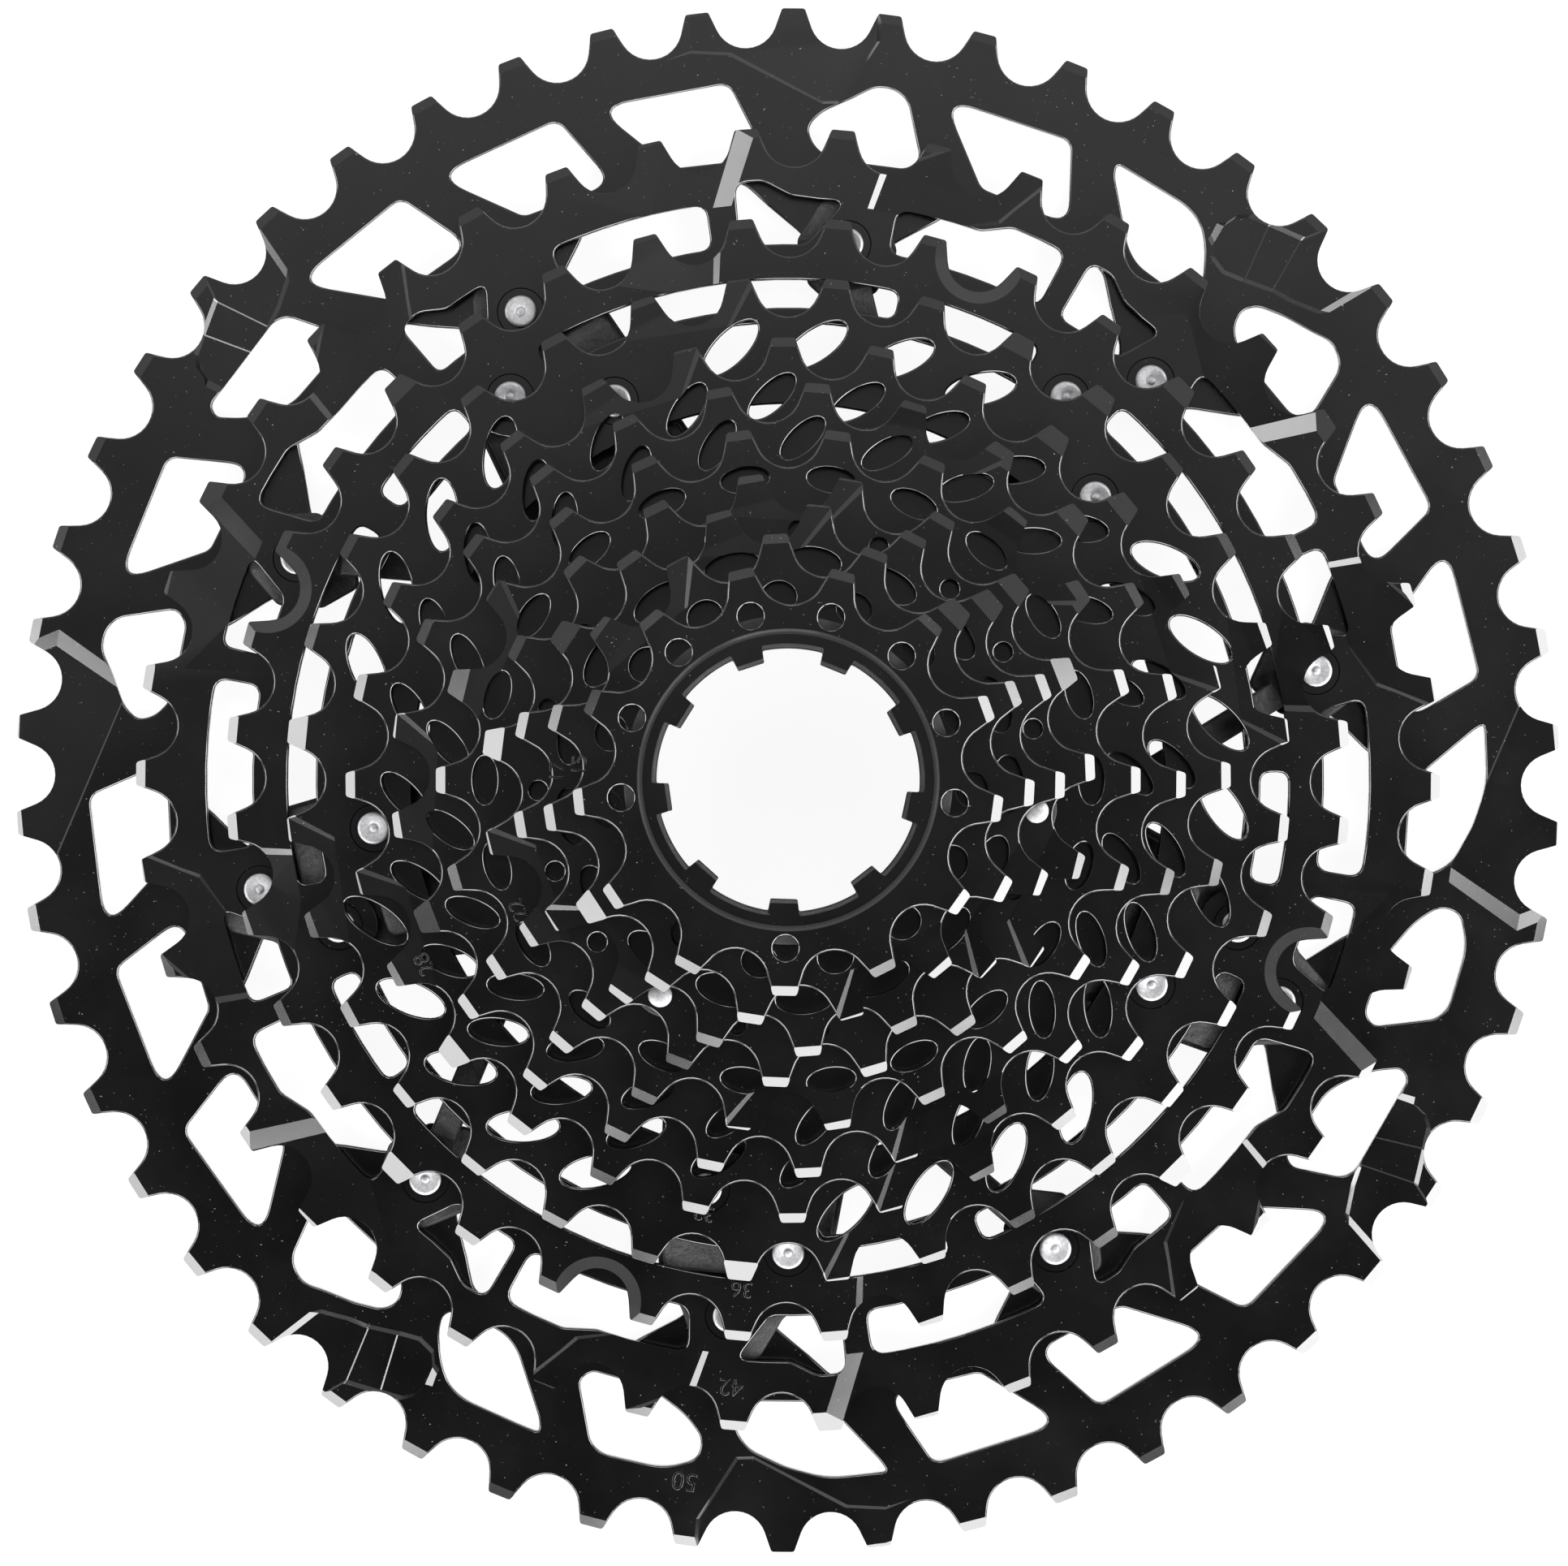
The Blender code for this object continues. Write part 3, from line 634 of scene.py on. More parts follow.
# Windows and pads of the 36-tooth plate.
WINDOW_INNER_36 = 62.0
WINDOW_OUTER_36 = 65.7
WINDOW_CORNER_36 = 1.4
PAD_RADIUS_36 = 5.2
PAD_CORNER_36 = 1.6
PAD_GAP_36 = 1.0                 # degrees between a pad and a window
PAD_FILLET_36 = 2.5              # degrees between a pad and the plain inner edge
LEG_ANGLE_36 = 21.0              # the leg between two windows, in degrees from a rivet
LEG_HALF_WIDTH_36 = 2.4
FINE = 0.1                       # corner given to points of an arc, which need none

# Lightening holes: centre radius, half length, half width, tilt, degrees from the tooth.
OVALS = {
    32: (57.0, 4.7, 2.0, 38.0, 1.9), 28: (50.0, 3.9, 1.65, 42.0, 1.8), 25: (44.4, 3.6, 1.55, 46.0, 1.8),
    22: (39.2, 3.1, 1.55, 0.0, 0.0), 19: (32.2, 1.15, 1.15, 0.0, 180.0 / 19),
    17: (28.1, 3.6, 1.85, 0.0, 0.0), 15: (23.4, 2.2, 1.95, 0.0, 0.0), 13: (21.4, 1.6, 1.6, 0.0, 0.0),
}
SOLID_TEETH_13 = (7, 8, 10, 11)  # teeth of the 13-tooth plate without a hole


def sector(inner, outer, start, end, corner):
    """A window between two radii and two angles."""
    top = arc(outer, start, end)
    points = top + arc(inner, end, start)
    ends = (0, len(top) - 1, len(top), len(points) - 1)
    sizes = [corner if i in ends else FINE / 2 for i in range(len(points))]
    return rounded(points, sizes, 4)


def holes(circle_of, hole):
    """Round holes on a circle of rivets."""
    circle_radius, count, first = circle_of
    return [circle(hole, 24, polar(circle_radius, angle)) for angle in spread(first, count)]


def pin_angles():
    """The angles of the pins, which stand in gullets of the 19-tooth plate."""
    first = TOOTH_ANGLE[19] - 180.0 / 19
    return [first + 360.0 * slot / 19 for slot in PIN_SLOTS]


def pin_holes():
    return [circle(PIN_HOLE, 24, polar(PIN_CIRCLE, angle)) for angle in pin_angles()]


def bore_50():
    """Inner edge with ten flared tabs that reach in to the outer rivets."""
    _, count, first = OUTER_RIVETS
    points = []
    sizes = []
    for angle in spread(first, count):
        points += [polar(radius, angle - turn) for radius, turn, _ in TAB_EDGE_50]
        points += [polar(radius, angle + turn) for radius, turn, _ in reversed(TAB_EDGE_50)]
        corners = [corner for _, _, corner in TAB_EDGE_50]
        sizes += corners + corners[::-1]
        following = angle + 360.0 / count
        between = arc(RING_INNER_50, angle + TAB_CLEAR_50, following - TAB_CLEAR_50)
        points += between
        sizes += [1.0] * len(between)
    return rounded(points, sizes, 4)


def eased(corners):
    """An outline of close points: sharp corners get a radius, blunt ones blend into a curve."""
    sizes = []
    for i, corner in enumerate(corners):
        before = corners[i - 1] - corner
        after = corners[(i + 1) % len(corners)] - corner
        sizes.append(SHARP_RADIUS if before.angle(after) < radians(SHARP_CORNER) else BLUNT_RADIUS)
    return rounded(corners, sizes, 5)


def windows_50():
    """Slanted windows; those beside the shift features are cut back."""
    loops = []
    for index, start in enumerate(spread(FIRST_WINDOW_50, WINDOWS_50)):
        if index in ODD_WINDOWS_50:
            shape, own_start = ODD_WINDOWS_50[index]
            loops.append(eased([polar(radius, angle - own_start + start) for radius, angle in shape]))
        else:
            corners = [polar(radius, start + angle) for radius, angle in EVEN_WINDOW_50]
            loops.append(rounded(corners, EVEN_CORNERS_50, 8))
    return loops


def clear_of_pads(start, end):
    """A window's inner ends, moved off the pads of the outer rivets."""
    _, count, first = OUTER_RIVETS
    for rivet in spread(first, count):
        past = (start - rivet + 180.0) % 360.0 - 180.0
        before = (rivet - end + 180.0) % 360.0 - 180.0
        if abs(past) < PAD_REACH_42:
            start += PAD_REACH_42 - past
        if abs(before) < PAD_REACH_42:
            end -= PAD_REACH_42 - before
    return start, end


def windows_42():
    """Long and short windows by turns, some of them deeper at one end."""
    loops = []
    for start, end, outer_start, outer_end in LONG_42 + SHORT_42:
        start += WINDOW_TRIM_42
        end -= WINDOW_TRIM_42
        span = end - start
        outer = []
        steps = 6 if span > LONG_SPAN_42 else 4
        for i in range(steps + 1):
            share = i / steps
            radius = WINDOW_OUTER_42
            for depth, past in ((outer_start, share), (outer_end, 1.0 - share)):
                dropped = max(0.0, (past - DEEP_SHARE_42) / DROP_SHARE_42) * DEEP_DROP_42
                radius = max(radius, depth - dropped)
            outer.append(polar(radius, start + span * share))
        inner_start, inner_end = clear_of_pads(start, end)
        points = outer + arc(WINDOW_INNER_42, inner_end, inner_start)
        last = len(outer) - 1
        ends = (0, last, last + 1, len(points) - 1)
        sizes = [WINDOW_CORNER_42 if i in ends else WINDOW_EASE_42 for i in range(len(points))]
        loops.append(rounded(points, sizes, 5))
    return loops


def windows_36():
    """Two windows between each pair of rivets, with a leg between them."""
    circle_radius, count, first = MIDDLE_RIVETS
    pad = half_angle(PAD_RADIUS_36, circle_radius) + PAD_GAP_36
    leg = half_angle(LEG_HALF_WIDTH_36, WINDOW_OUTER_36)
    loops = []
    for angle in spread(first, count):
        middle = angle + LEG_ANGLE_36
        following = angle + 360.0 / count
        for start, end in ((angle + pad, middle - leg), (middle + leg, following - pad)):
            loops.append(sector(WINDOW_INNER_36, WINDOW_OUTER_36, start, end, WINDOW_CORNER_36))
    return loops


def bore_36():
    """Inner edge with a round pad at each middle rivet."""
    circle_radius, count, first = MIDDLE_RIVETS
    pad = PAD_RADIUS_36
    sweep = degrees(acos((circle_radius ** 2 + pad ** 2 - RING_INNER_36 ** 2) / (2 * circle_radius * pad)))
    points = []
    sizes = []
    steps = 14
    for angle in spread(first, count):
        centre = polar(circle_radius, angle)
        for i in range(steps + 1):
            share = 2.0 * i / steps - 1.0
            points.append(centre - polar(pad, angle - share * sweep))
            sizes.append(PAD_CORNER_36 if i in (0, steps) else FINE)
        reach = half_angle(pad, circle_radius) + PAD_FILLET_36
        between = arc(RING_INNER_36, angle + reach, angle + 360.0 / count - reach)
        points += between
        sizes += [FINE] * len(between)
    return rounded(points, sizes, 3)


def ovals(teeth):
    """One hole below each tooth, except at the rivets, the pins and some teeth of the smallest plate."""
    radius, half_length, half_width, tilt, offset = OVALS[teeth]
    _, count, first = INNER_RIVETS
    loops = []
    for index, tooth in enumerate(spread(TOOTH_ANGLE[teeth], teeth)):
        if teeth == 13 and index in SOLID_TEETH_13:
            continue
        if teeth == 19 and index in [(slot - 1) % 19 for slot in PIN_SLOTS]:
            continue
        near = min(abs((tooth + offset - rivet + 180) % 360 - 180) for rivet in spread(first, count))
        if teeth == 32 and near < 360.0 / 32:
            continue
        loops.append(ellipse(radius, tooth + offset, half_length, half_width, tilt))
    return loops


def plate_loops(teeth):
    """A plate's outline, its inner edge and all its holes."""
    loops = [tooth_outline(teeth)]
    if teeth == 50:
        loops += [bore_50()] + windows_50() + holes(OUTER_RIVETS, RIVET_HOLE)
    elif teeth == 42:
        loops += [circle(RING_INNER_42, 180)] + windows_42() + holes(OUTER_RIVETS, RIVET_HOLE)
    elif teeth == 36:
        loops += [bore_36()] + windows_36() + holes(MIDDLE_RIVETS, RIVET_HOLE)
    elif teeth == 32:
        loops += [circle(RING_INNER_32, 150)] + ovals(32) + holes(INNER_RIVETS, RIVET_HOLE)
    else:
        loops += [spline_outline()] + ovals(teeth)
        if teeth >= PINNED_FROM:
            loops += pin_holes()
    return loops


# ---- fasteners ----
AXIS = 0.05                      # radius of the tiny flat that closes a turned piece at its axis


def rivet_profile(back, top, head, shank, ridges):
    """Shank with a tail and a spun, ridged head, from the bottom up."""
    under = top - HEAD_HEIGHT
    tail_top = back + HEAD_HEIGHT
    profile = [(AXIS, back), (head - 0.15, back), (head, back + 0.15), (head, tail_top - 0.05),
               (shank, tail_top), (shank, under), (head - 0.05, under), (head, under + 0.08),
               (head - 0.03, top - 0.12), (head - 0.2, top - 0.02)]
    if ridges:
        profile += [(head - 0.42, top), (head - 0.60, top - 0.03), (head - 1.30, top - 0.04),
                    (head - 1.42, top - 0.09), (head - 1.60, top - 0.09), (head - 1.70, top - 0.03)]
    profile.append((AXIS, top - 0.04))
    return profile


def make_fastener(node, centre, head, shank, ridges, sides):
    profile = rivet_profile(back_of(node), front_of(node), head, shank, ridges)
    piece = turned(f"{node}_look", profile, centre, sides)
    finish_piece(piece, "cluster", BRIGHT, [node], TURNED_CREASE)


def make_fasteners():
    for group, ((radius, count, first), _) in RIVET_CIRCLES.items():
        for number, angle in enumerate(spread(first, count), 1):
            make_fastener(f"{group}_rivet_{number}", polar(radius, angle), RIVET_HEAD, RIVET_SHANK,
                          True, 40)
    for number, angle in enumerate(pin_angles(), 1):
        make_fastener(f"stack_pin_{number}", polar(PIN_CIRCLE, angle), PIN_HEAD, PIN_SHANK, False, 32)


# ---- spacers ----
SPACED_TEETH = (28, 25, 22, 19, 17, 15, 13)
SPACER_BORE = 17.8
SPACER_OUTER = 21.0
SPACER_EDGE = 0.12
EAR_END = 35.0
EAR_HALF_WIDTH = 2.6
EAR_CORNERS = (1.5, 2.4, 2.4, 1.5)
EAR_FILLET = 4.0                 # degrees between an ear and the round rim


def eared_outline():
    """A ring's outline with an ear around each pin."""
    near = half_angle(EAR_HALF_WIDTH, SPACER_OUTER)
    far = half_angle(EAR_HALF_WIDTH, EAR_END)
    outline = []
    sizes = []
    angles = pin_angles()
    for angle, following in zip(angles, angles[1:] + [angles[0] + 360.0]):
        outline += [polar(SPACER_OUTER, angle - near), polar(EAR_END, angle - far),
                    polar(EAR_END, angle + far), polar(SPACER_OUTER, angle + near)]
        sizes += EAR_CORNERS
        between = arc(SPACER_OUTER, angle + near + EAR_FILLET, following - near - EAR_FILLET)
        outline += between
        sizes += [FINE] * len(between)
    return rounded(outline, sizes, 4)


def make_spacers():
    for behind, ahead in zip(SPACED_TEETH, SPACED_TEETH[1:]):
        node = f"spacer_{behind}t_{ahead}t"
        bore = circle(SPACER_BORE)
        if ahead >= PINNED_FROM:
            loops = [eared_outline(), bore] + pin_holes()
        else:
            loops = [circle(SPACER_OUTER, 120), bore]
        piece = plate(f"{node}_look", loops, back_of(node), front_of(node), SPACER_EDGE)
        finish_piece(piece, BODY_OF.get(ahead, "cluster"), SPACER, [node])


# ---- spider ----
HUB_RADIUS = 24.0
HUB_HEIGHTS = (1.0, 14.3)
HUB_EDGE = 0.3
FLANGE_RADIUS = 35.2
FLANGE_HEIGHTS = (1.6, 11.5)
FLANGE_EDGE = 0.5
ARMS = (48.0, 5)                 # angle of the first arm, number
ARM_ROOT = 27.0
ROOT_CORNER = 0.3
WAIST_CORNER = 9.0
WAIST_END = 50.0                 # radius out to which an arm narrows
STEP_CORNER = 1.6
STRUT_HALF_WIDTH = 1.75
STRUT_END = 66.9
BOSS_CORNER = 1.5
DRILL_HEIGHTS = (-2.0, 17.0)
DRILL_EDGE = 0.01

# Corners as radius and degrees from the arm or strut, then heights of the back and the front.
STRUT_HEIGHTS = (2.4, 6.2)
STRUT_BOSS = ((65.5, -4.0), (71.2, -5.4), (76.6, -3.1), (76.6, 3.1), (71.2, 5.4), (65.5, 4.0), (62.0, 0.0))
STRUT_BOSS_HEIGHTS = (2.0, 3.35)
ARM_STEPS = (
    (((ARM_ROOT, -52.0), (45.0, -15.5), (66.2, -9.0), (71.2, -5.4), (76.6, -3.1), (76.6, 3.1),
      (71.2, 5.4), (66.2, 10.5), (45.0, 18.0), (ARM_ROOT, 55.0)), (2.0, 3.35)),
    (((ARM_ROOT, -45.0), (44.0, -15.0), (66.2, -8.5), (66.2, 10.0), (44.0, 17.0), (ARM_ROOT, 50.0)),
     (2.4, 7.0)),
    (((ARM_ROOT, -40.0), (43.0, -14.5), (59.3, -10.0), (59.3, -1.5), (56.1, 1.0), (56.1, 9.5),
      (43.0, 12.0), (ARM_ROOT, 45.0)), (2.8, 10.65)),
)


def strut_parts(angle):
    """A thin strut on a tangent of the hub, and the boss at its end."""
    radius = OUTER_RIVETS[0]
    along = polar(1.0, angle + half_angle(HUB_RADIUS, radius))
    across = Vector((-along.y, along.x)) * STRUT_HALF_WIDTH
    tip = polar(radius, angle)
    root = tip - along * (radius ** 2 - HUB_RADIUS ** 2) ** 0.5
    stop = tip - along * (radius - STRUT_END + STRUT_HALF_WIDTH)
    bar = [root - across, stop - across, stop + across, root + across]
    boss = rounded([polar(r, angle + turn) for r, turn in STRUT_BOSS], BOSS_CORNER, 4)
    return ((bar, STRUT_HEIGHTS), (boss, STRUT_BOSS_HEIGHTS))


def arm_parts(angle):
    """The three steps of a wide arm, each with its own outline."""
    parts = []
    for corners, heights in ARM_STEPS:
        sizes = []
        for radius, _ in corners:
            if radius <= ARM_ROOT:
                sizes.append(ROOT_CORNER)
            else:
                sizes.append(WAIST_CORNER if radius < WAIST_END else STEP_CORNER)
        parts.append((rounded([polar(r, angle + turn) for r, turn in corners], sizes, 5), heights))
    return parts


def make_spider():
    """The casting: hub, flange, stepped arms and struts, drilled for the bore, rivets and pins."""
    spider = plate("spider_look", [circle(HUB_RADIUS, 150)], *HUB_HEIGHTS, HUB_EDGE)
    tools = [plate("flange", [circle(FLANGE_RADIUS, 180)], *FLANGE_HEIGHTS, FLANGE_EDGE)]
    _, outer_count, outer_first = OUTER_RIVETS
    for angle in spread(*ARMS):
        tools += [plate("arm", [outline], *heights, CAST_EDGE) for outline, heights in arm_parts(angle)]
    for angle in spread(outer_first, outer_count)[::2]:
        tools += [plate("strut", [outline], *heights, CAST_EDGE) for outline, heights in strut_parts(angle)]
    for tool in tools:
        boolean(spider, tool, "UNION")
    drilled = [spline_outline()]
    for circle_of in (OUTER_RIVETS, MIDDLE_RIVETS, INNER_RIVETS):
        drilled += holes(circle_of, RIVET_HOLE)
    drilled += pin_holes()
    cutters = [plate("hole", [outline], *DRILL_HEIGHTS, DRILL_EDGE, 1) for outline in drilled]
    boolean(spider, joined("holes", cutters))
    finish_piece(spider, "cluster", CAST, ["spider"])


# ---- shift features pressed into the front faces ----
# Points are (radius, degrees from the feature's own angle, depth); faces list the points around them.
FOLD_50 = (((98.4, 0.0, 0.0), (98.4, 1.3, 0.5), (88.4, 4.2, 0.22), (88.4, 2.9, 0.0),
            (103.5, 3.0, 0.5), (103.5, 1.9, 0.0), (103.5, 18.8, 0.14), (97.2, 17.4, 0.14),
            (88.25, 4.35, 0.0), (97.05, 17.55, 0.0), (103.5, 18.95, 0.0)),
           ((0, 3, 2, 1), (5, 0, 1, 4), (1, 6, 4), (1, 7, 6), (1, 2, 7), (2, 8, 9, 7), (7, 9, 10, 6)))
STEEP_FOLD_50 = (((98.4, 0.0, 0.0), (98.4, 0.3, 0.6), (90.1, 2.9, 0.4), (89.7, 2.7, 0.0),
                  (103.5, 0.45, 0.6), (103.5, 0.1, 0.0), (89.9, 4.2, 0.35), (89.5, 4.2, 0.0),
                  (96.5, 11.6, 0.3), (96.1, 11.8, 0.0), (97.3, 14.7, 0.3), (96.9, 14.8, 0.0),
                  (96.4, 16.9, 0.0), (103.5, 14.3, 0.3), (103.5, 17.4, 0.0)),
                 ((0, 3, 2, 1), (5, 0, 1, 4), (3, 7, 6, 2), (6, 7, 9, 8), (8, 9, 11, 10), (10, 11, 12),
                  (10, 12, 14, 13), (1, 2, 6), (1, 6, 8), (4, 1, 8), (4, 8, 13), (8, 10, 13)))
FOLD_42 = (((87.0, -0.7, 0.0), (87.0, 1.1, 0.5), (76.0, 4.3, 0.45), (76.0, 2.4, 0.0),
            (87.0, 7.6, 0.35), (76.0, 10.5, 0.25), (87.0, 17.4, 0.0), (81.2, 16.6, 0.0)),
           ((0, 3, 2, 1), (1, 2, 5, 4), (4, 5, 7, 6)))
STEP_42 = (((87.0, 5.8, 0.0), (80.8, 8.2, 0.0), (78.4, 9.1, 0.0), (76.0, 13.0, 0.0),
            (87.0, 6.2, 0.4), (80.9, 8.5, 0.4), (78.7, 9.4, 0.4), (76.0, 13.5, 0.4),
            (87.0, 14.2, 0.3), (81.1, 20.7, 0.3), (76.0, 21.5, 0.3),
            (87.0, 14.9, 0.0), (80.7, 21.4, 0.0), (76.0, 22.1, 0.0)),
           ((0, 1, 5, 4), (1, 2, 6, 5), (2, 3, 7, 6), (4, 5, 9, 8), (5, 6, 9), (6, 7, 10, 9),
            (8, 9, 12, 11), (9, 10, 13, 12)))
FOLD_36 = (((75.0, -0.6, 0.0), (75.0, 0.2, 0.5), (65.8, 1.4, 0.35), (65.8, 0.7, 0.0),
            (65.8, 6.6, 0.05), (69.4, 13.2, 0.0), (75.0, 13.8, 0.0)),
           ((0, 3, 2, 1), (1, 2, 4), (1, 4, 5), (1, 5, 6)))
# The fold of the smaller plates: distance from the pitch circle, share of a tooth, depth.
FOLD_SMALL = (((2.0, -0.24, 0.0), (2.0, -0.17, 0.4), (-5.0, 0.18, 0.25), (-5.0, 0.13, 0.0),
               (2.0, 1.35, 0.0), (-2.9, 1.55, 0.0)),
              ((0, 3, 2, 1), (1, 5, 4), (1, 2, 5)))
# One stepped pocket of the 50-tooth plate: angle at its outer and inner edge, the two radii, depth.
POCKET_50 = ((0.0, 0.9, 103.5, 94.6, 0.0), (0.5, 1.5, 103.5, 93.9, 0.22), (3.1, 3.7, 103.5, 92.2, 0.22),
             (5.3, 5.2, 103.5, 91.5, 0.22), (6.5, 5.4, 98.5, 91.4, 0.22), (6.6, 5.5, 98.4, 91.3, 0.32),
             (9.1, 7.7, 97.0, 89.8, 0.32), (9.2, 7.8, 96.9, 89.7, 0.42), (10.8, 9.5, 96.1, 88.8, 0.42),
             (11.6, 11.0, 94.8, 89.3, 0.42), (11.9, 11.7, 93.2, 90.8, 0.42), (12.5, 12.3, 92.9, 91.2, 0.0))
POCKET_LIP = 0.65
SCOOP_RADIUS = 5.9
SCOOP_FLOOR_RADIUS = 4.3
SCOOP_DEPTH = 1.0
ROUND_RISE = 0.5                 # how far a turned cutter stands above the face

FEATURES = {
    50: ((FOLD_50, (168.3, 348.3)), (STEEP_FOLD_50, (82.9, 262.9))),
    42: ((FOLD_42, spread(33.2, 6)), (STEP_42, spread(0.0, 6))),
    36: ((FOLD_36, spread(7.2, 4)),),
}
POCKET_ANGLES_50 = (39.9, 133.5, 227.1, 320.7)
SCOOP_ANGLES_36 = (70, 160, 250, 340)
FOLDS_SMALL = {32: (0, 8, 16, 24), 28: (1, 8, 15, 22), 25: (3, 11, 19), 22: (2, 9, 16), 19: (4, 10, 17),
               17: (3, 9, 14), 15: (4, 11)}
TIP_CHAMFER = (1.25, 0.45)       # reach down the tooth, depth at the tip
LONG_CHAMFER = (2.5, 0.95)
LONG_CHAMFERS = {42: (3, 17, 31), 36: (4, 13, 22, 31), 32: (4, 5, 15, 23), 28: (3, 4, 17), 25: (2, 3, 13),
                 22: (2, 10), 19: (1, 2, 9), 17: (1, 6), 15: (1, 8)}


def ribbon(stations, front, start, lip):
    """A cutter for a long shaped pocket, built from one cross section per station."""
    verts = []
    for outer_angle, inner_angle, outer, inner, depth in stations:
        floor = depth if depth > 0 else -CLEAR
        row = ((outer + lip, outer_angle, -CLEAR), (outer, outer_angle, floor),
               (inner, inner_angle, floor), (inner - lip, inner_angle, -CLEAR),
               (inner - lip, inner_angle, -FEATURE_RISE), (outer + lip, outer_angle, -FEATURE_RISE))
        for radius, angle, down in row:
            place = polar(radius, start + angle)
            verts.append((place.x, place.y, front - down))
    return mesh_object("ribbon", verts, tube_faces(len(stations), len(row)))


def small_fold(teeth, tooth, front):
    """A ramp beside a tooth and the folded flat that leads up to the next one."""
    pitch = 360.0 / teeth
    radius = pitch_radius(teeth)
    points, faces = FOLD_SMALL
    placed = [(radius + out, tooth + share * pitch, depth) for out, share, depth in points]
    return patch(placed, faces, front)


def scoop(gullet, teeth, front):
    """A conical chamfer around one gullet."""
    floor = front - SCOOP_DEPTH
    roof = front + ROUND_RISE
    profile = [(AXIS, floor), (SCOOP_FLOOR_RADIUS, floor), (SCOOP_RADIUS, front + 0.02),
               (SCOOP_RADIUS, roof), (AXIS, roof)]
    return turned("scoop", profile, polar(pitch_radius(teeth), gullet), 64)


def nearest_gullet(teeth, angle):
    """The angle of the gullet closest to an angle."""
    pitch = 360.0 / teeth
    first = TOOTH_ANGLE[teeth] + pitch / 2
    return first + pitch * round((angle - first) / pitch)


def tip_cutters(teeth, front):
    """One chamfer for each tooth, a longer one for some."""
    cutters = []
    for index, tooth in enumerate(spread(TOOTH_ANGLE[teeth], teeth)):
        long_one = index in LONG_CHAMFERS.get(teeth, ())
        reach, depth = LONG_CHAMFER if long_one else TIP_CHAMFER
        cutters.append(tip_chamfer(teeth, tooth, front, reach, depth))
    return cutters


def feature_cutters(teeth, front):
    """Shift features, one list of cutters per Boolean, so that no cutters in one list overlap."""
    folds = []
    for (points, faces), angles in FEATURES.get(teeth, ()):
        group = []
        for start in angles:
            group.append(patch([(r, start + a, d) for r, a, d in points], faces, front))
        folds.append(group)
    if teeth == 50:
        folds.append([ribbon(POCKET_50, front, start, POCKET_LIP) for start in POCKET_ANGLES_50])
    if teeth == 36:
        folds.append([scoop(nearest_gullet(36, angle), 36, front) for angle in SCOOP_ANGLES_36])
    teeth_angles = spread(TOOTH_ANGLE[teeth], teeth)
    small = [small_fold(teeth, teeth_angles[index], front) for index in FOLDS_SMALL.get(teeth, ())]
    if small:
        folds.append(small)
    return folds


# ---- sprockets ----
def rivet_recesses(teeth, front):
    """Round recesses around the rivet heads on the plate they hold."""
    floor = front - RECESS_DEPTH
    roof = front + RECESS_RISE
    profile = [(AXIS, floor), (RECESS_RADIUS - RECESS_FLARE, floor), (RECESS_RADIUS + RECESS_FLARE, roof),
               (AXIS, roof)]
    cutters = []
    for (radius, count, first), plate_teeth in RIVET_CIRCLES.values():
        if plate_teeth == teeth:
            cutters += [turned("recess", profile, polar(radius, angle), 48)
                        for angle in spread(first, count)]
    return cutters


SEAT_RADIUS_13 = 18.9
SEAT_DEPTH_13 = 0.9
SEAT_FILLET_13 = 0.3
SEAT_CHAMFER_13 = 0.22
SEAT_FLARE_13 = 0.4


def seat_cutter(front):
    """The round seat in the smallest plate's face, over the ends of its splines."""
    floor = front - SEAT_DEPTH_13
    roof = front + ROUND_RISE
    wide = SEAT_RADIUS_13 + SEAT_FLARE_13
    profile = [(AXIS, floor), (SEAT_RADIUS_13 - SEAT_FILLET_13, floor),
               (SEAT_RADIUS_13, floor + SEAT_FILLET_13), (SEAT_RADIUS_13, front - SEAT_CHAMFER_13),
               (wide, front + 0.03), (wide, roof), (AXIS, roof)]
    return turned("seat", profile, Vector((0, 0)), 180)


def make_sprockets():
    """Every plate, with its chamfers, recesses and shift features cut into the front."""
    for teeth in TOOTH_ANGLE:
        node = f"sprocket_{teeth}t"
        back, front = back_of(node), front_of(node)
        piece = plate(f"{node}_look", plate_loops(teeth), back, front)
        groups = [tip_cutters(teeth, front), rivet_recesses(teeth, front)]
        groups += feature_cutters(teeth, front)
        if teeth == 13:
            groups.append([seat_cutter(front)])
        for group in groups:
            if group:
                boolean(piece, joined("cutters", group))
        finish_piece(piece, BODY_OF.get(teeth, "cluster"), STEEL, [node])


# ---- tooth numbers ----
# Teeth: (radius, angle, height of the figures).
NUMBERS = {50: (93.6, 261.6, 2.6), 42: (80.2, 264.6, 2.4), 36: (67.0, 264.8, 2.2), 32: (57.6, 259.0, 2.1),
           28: (53.0, 206.8, 2.2), 22: (38.6, 205.7, 2.1), 17: (29.6, 178.0, 2.0),
           15: (26.7, 176.0, 2.0), 13: (20.9, 178.2, 1.8)}
NUMBER_RAISE = 0.12              # half of the figures' height
NUMBER_BEVEL = 0.06
NUMBER_THIN = -0.05
CAPITAL_SHARE = 1.35             # text size for figures of a given height


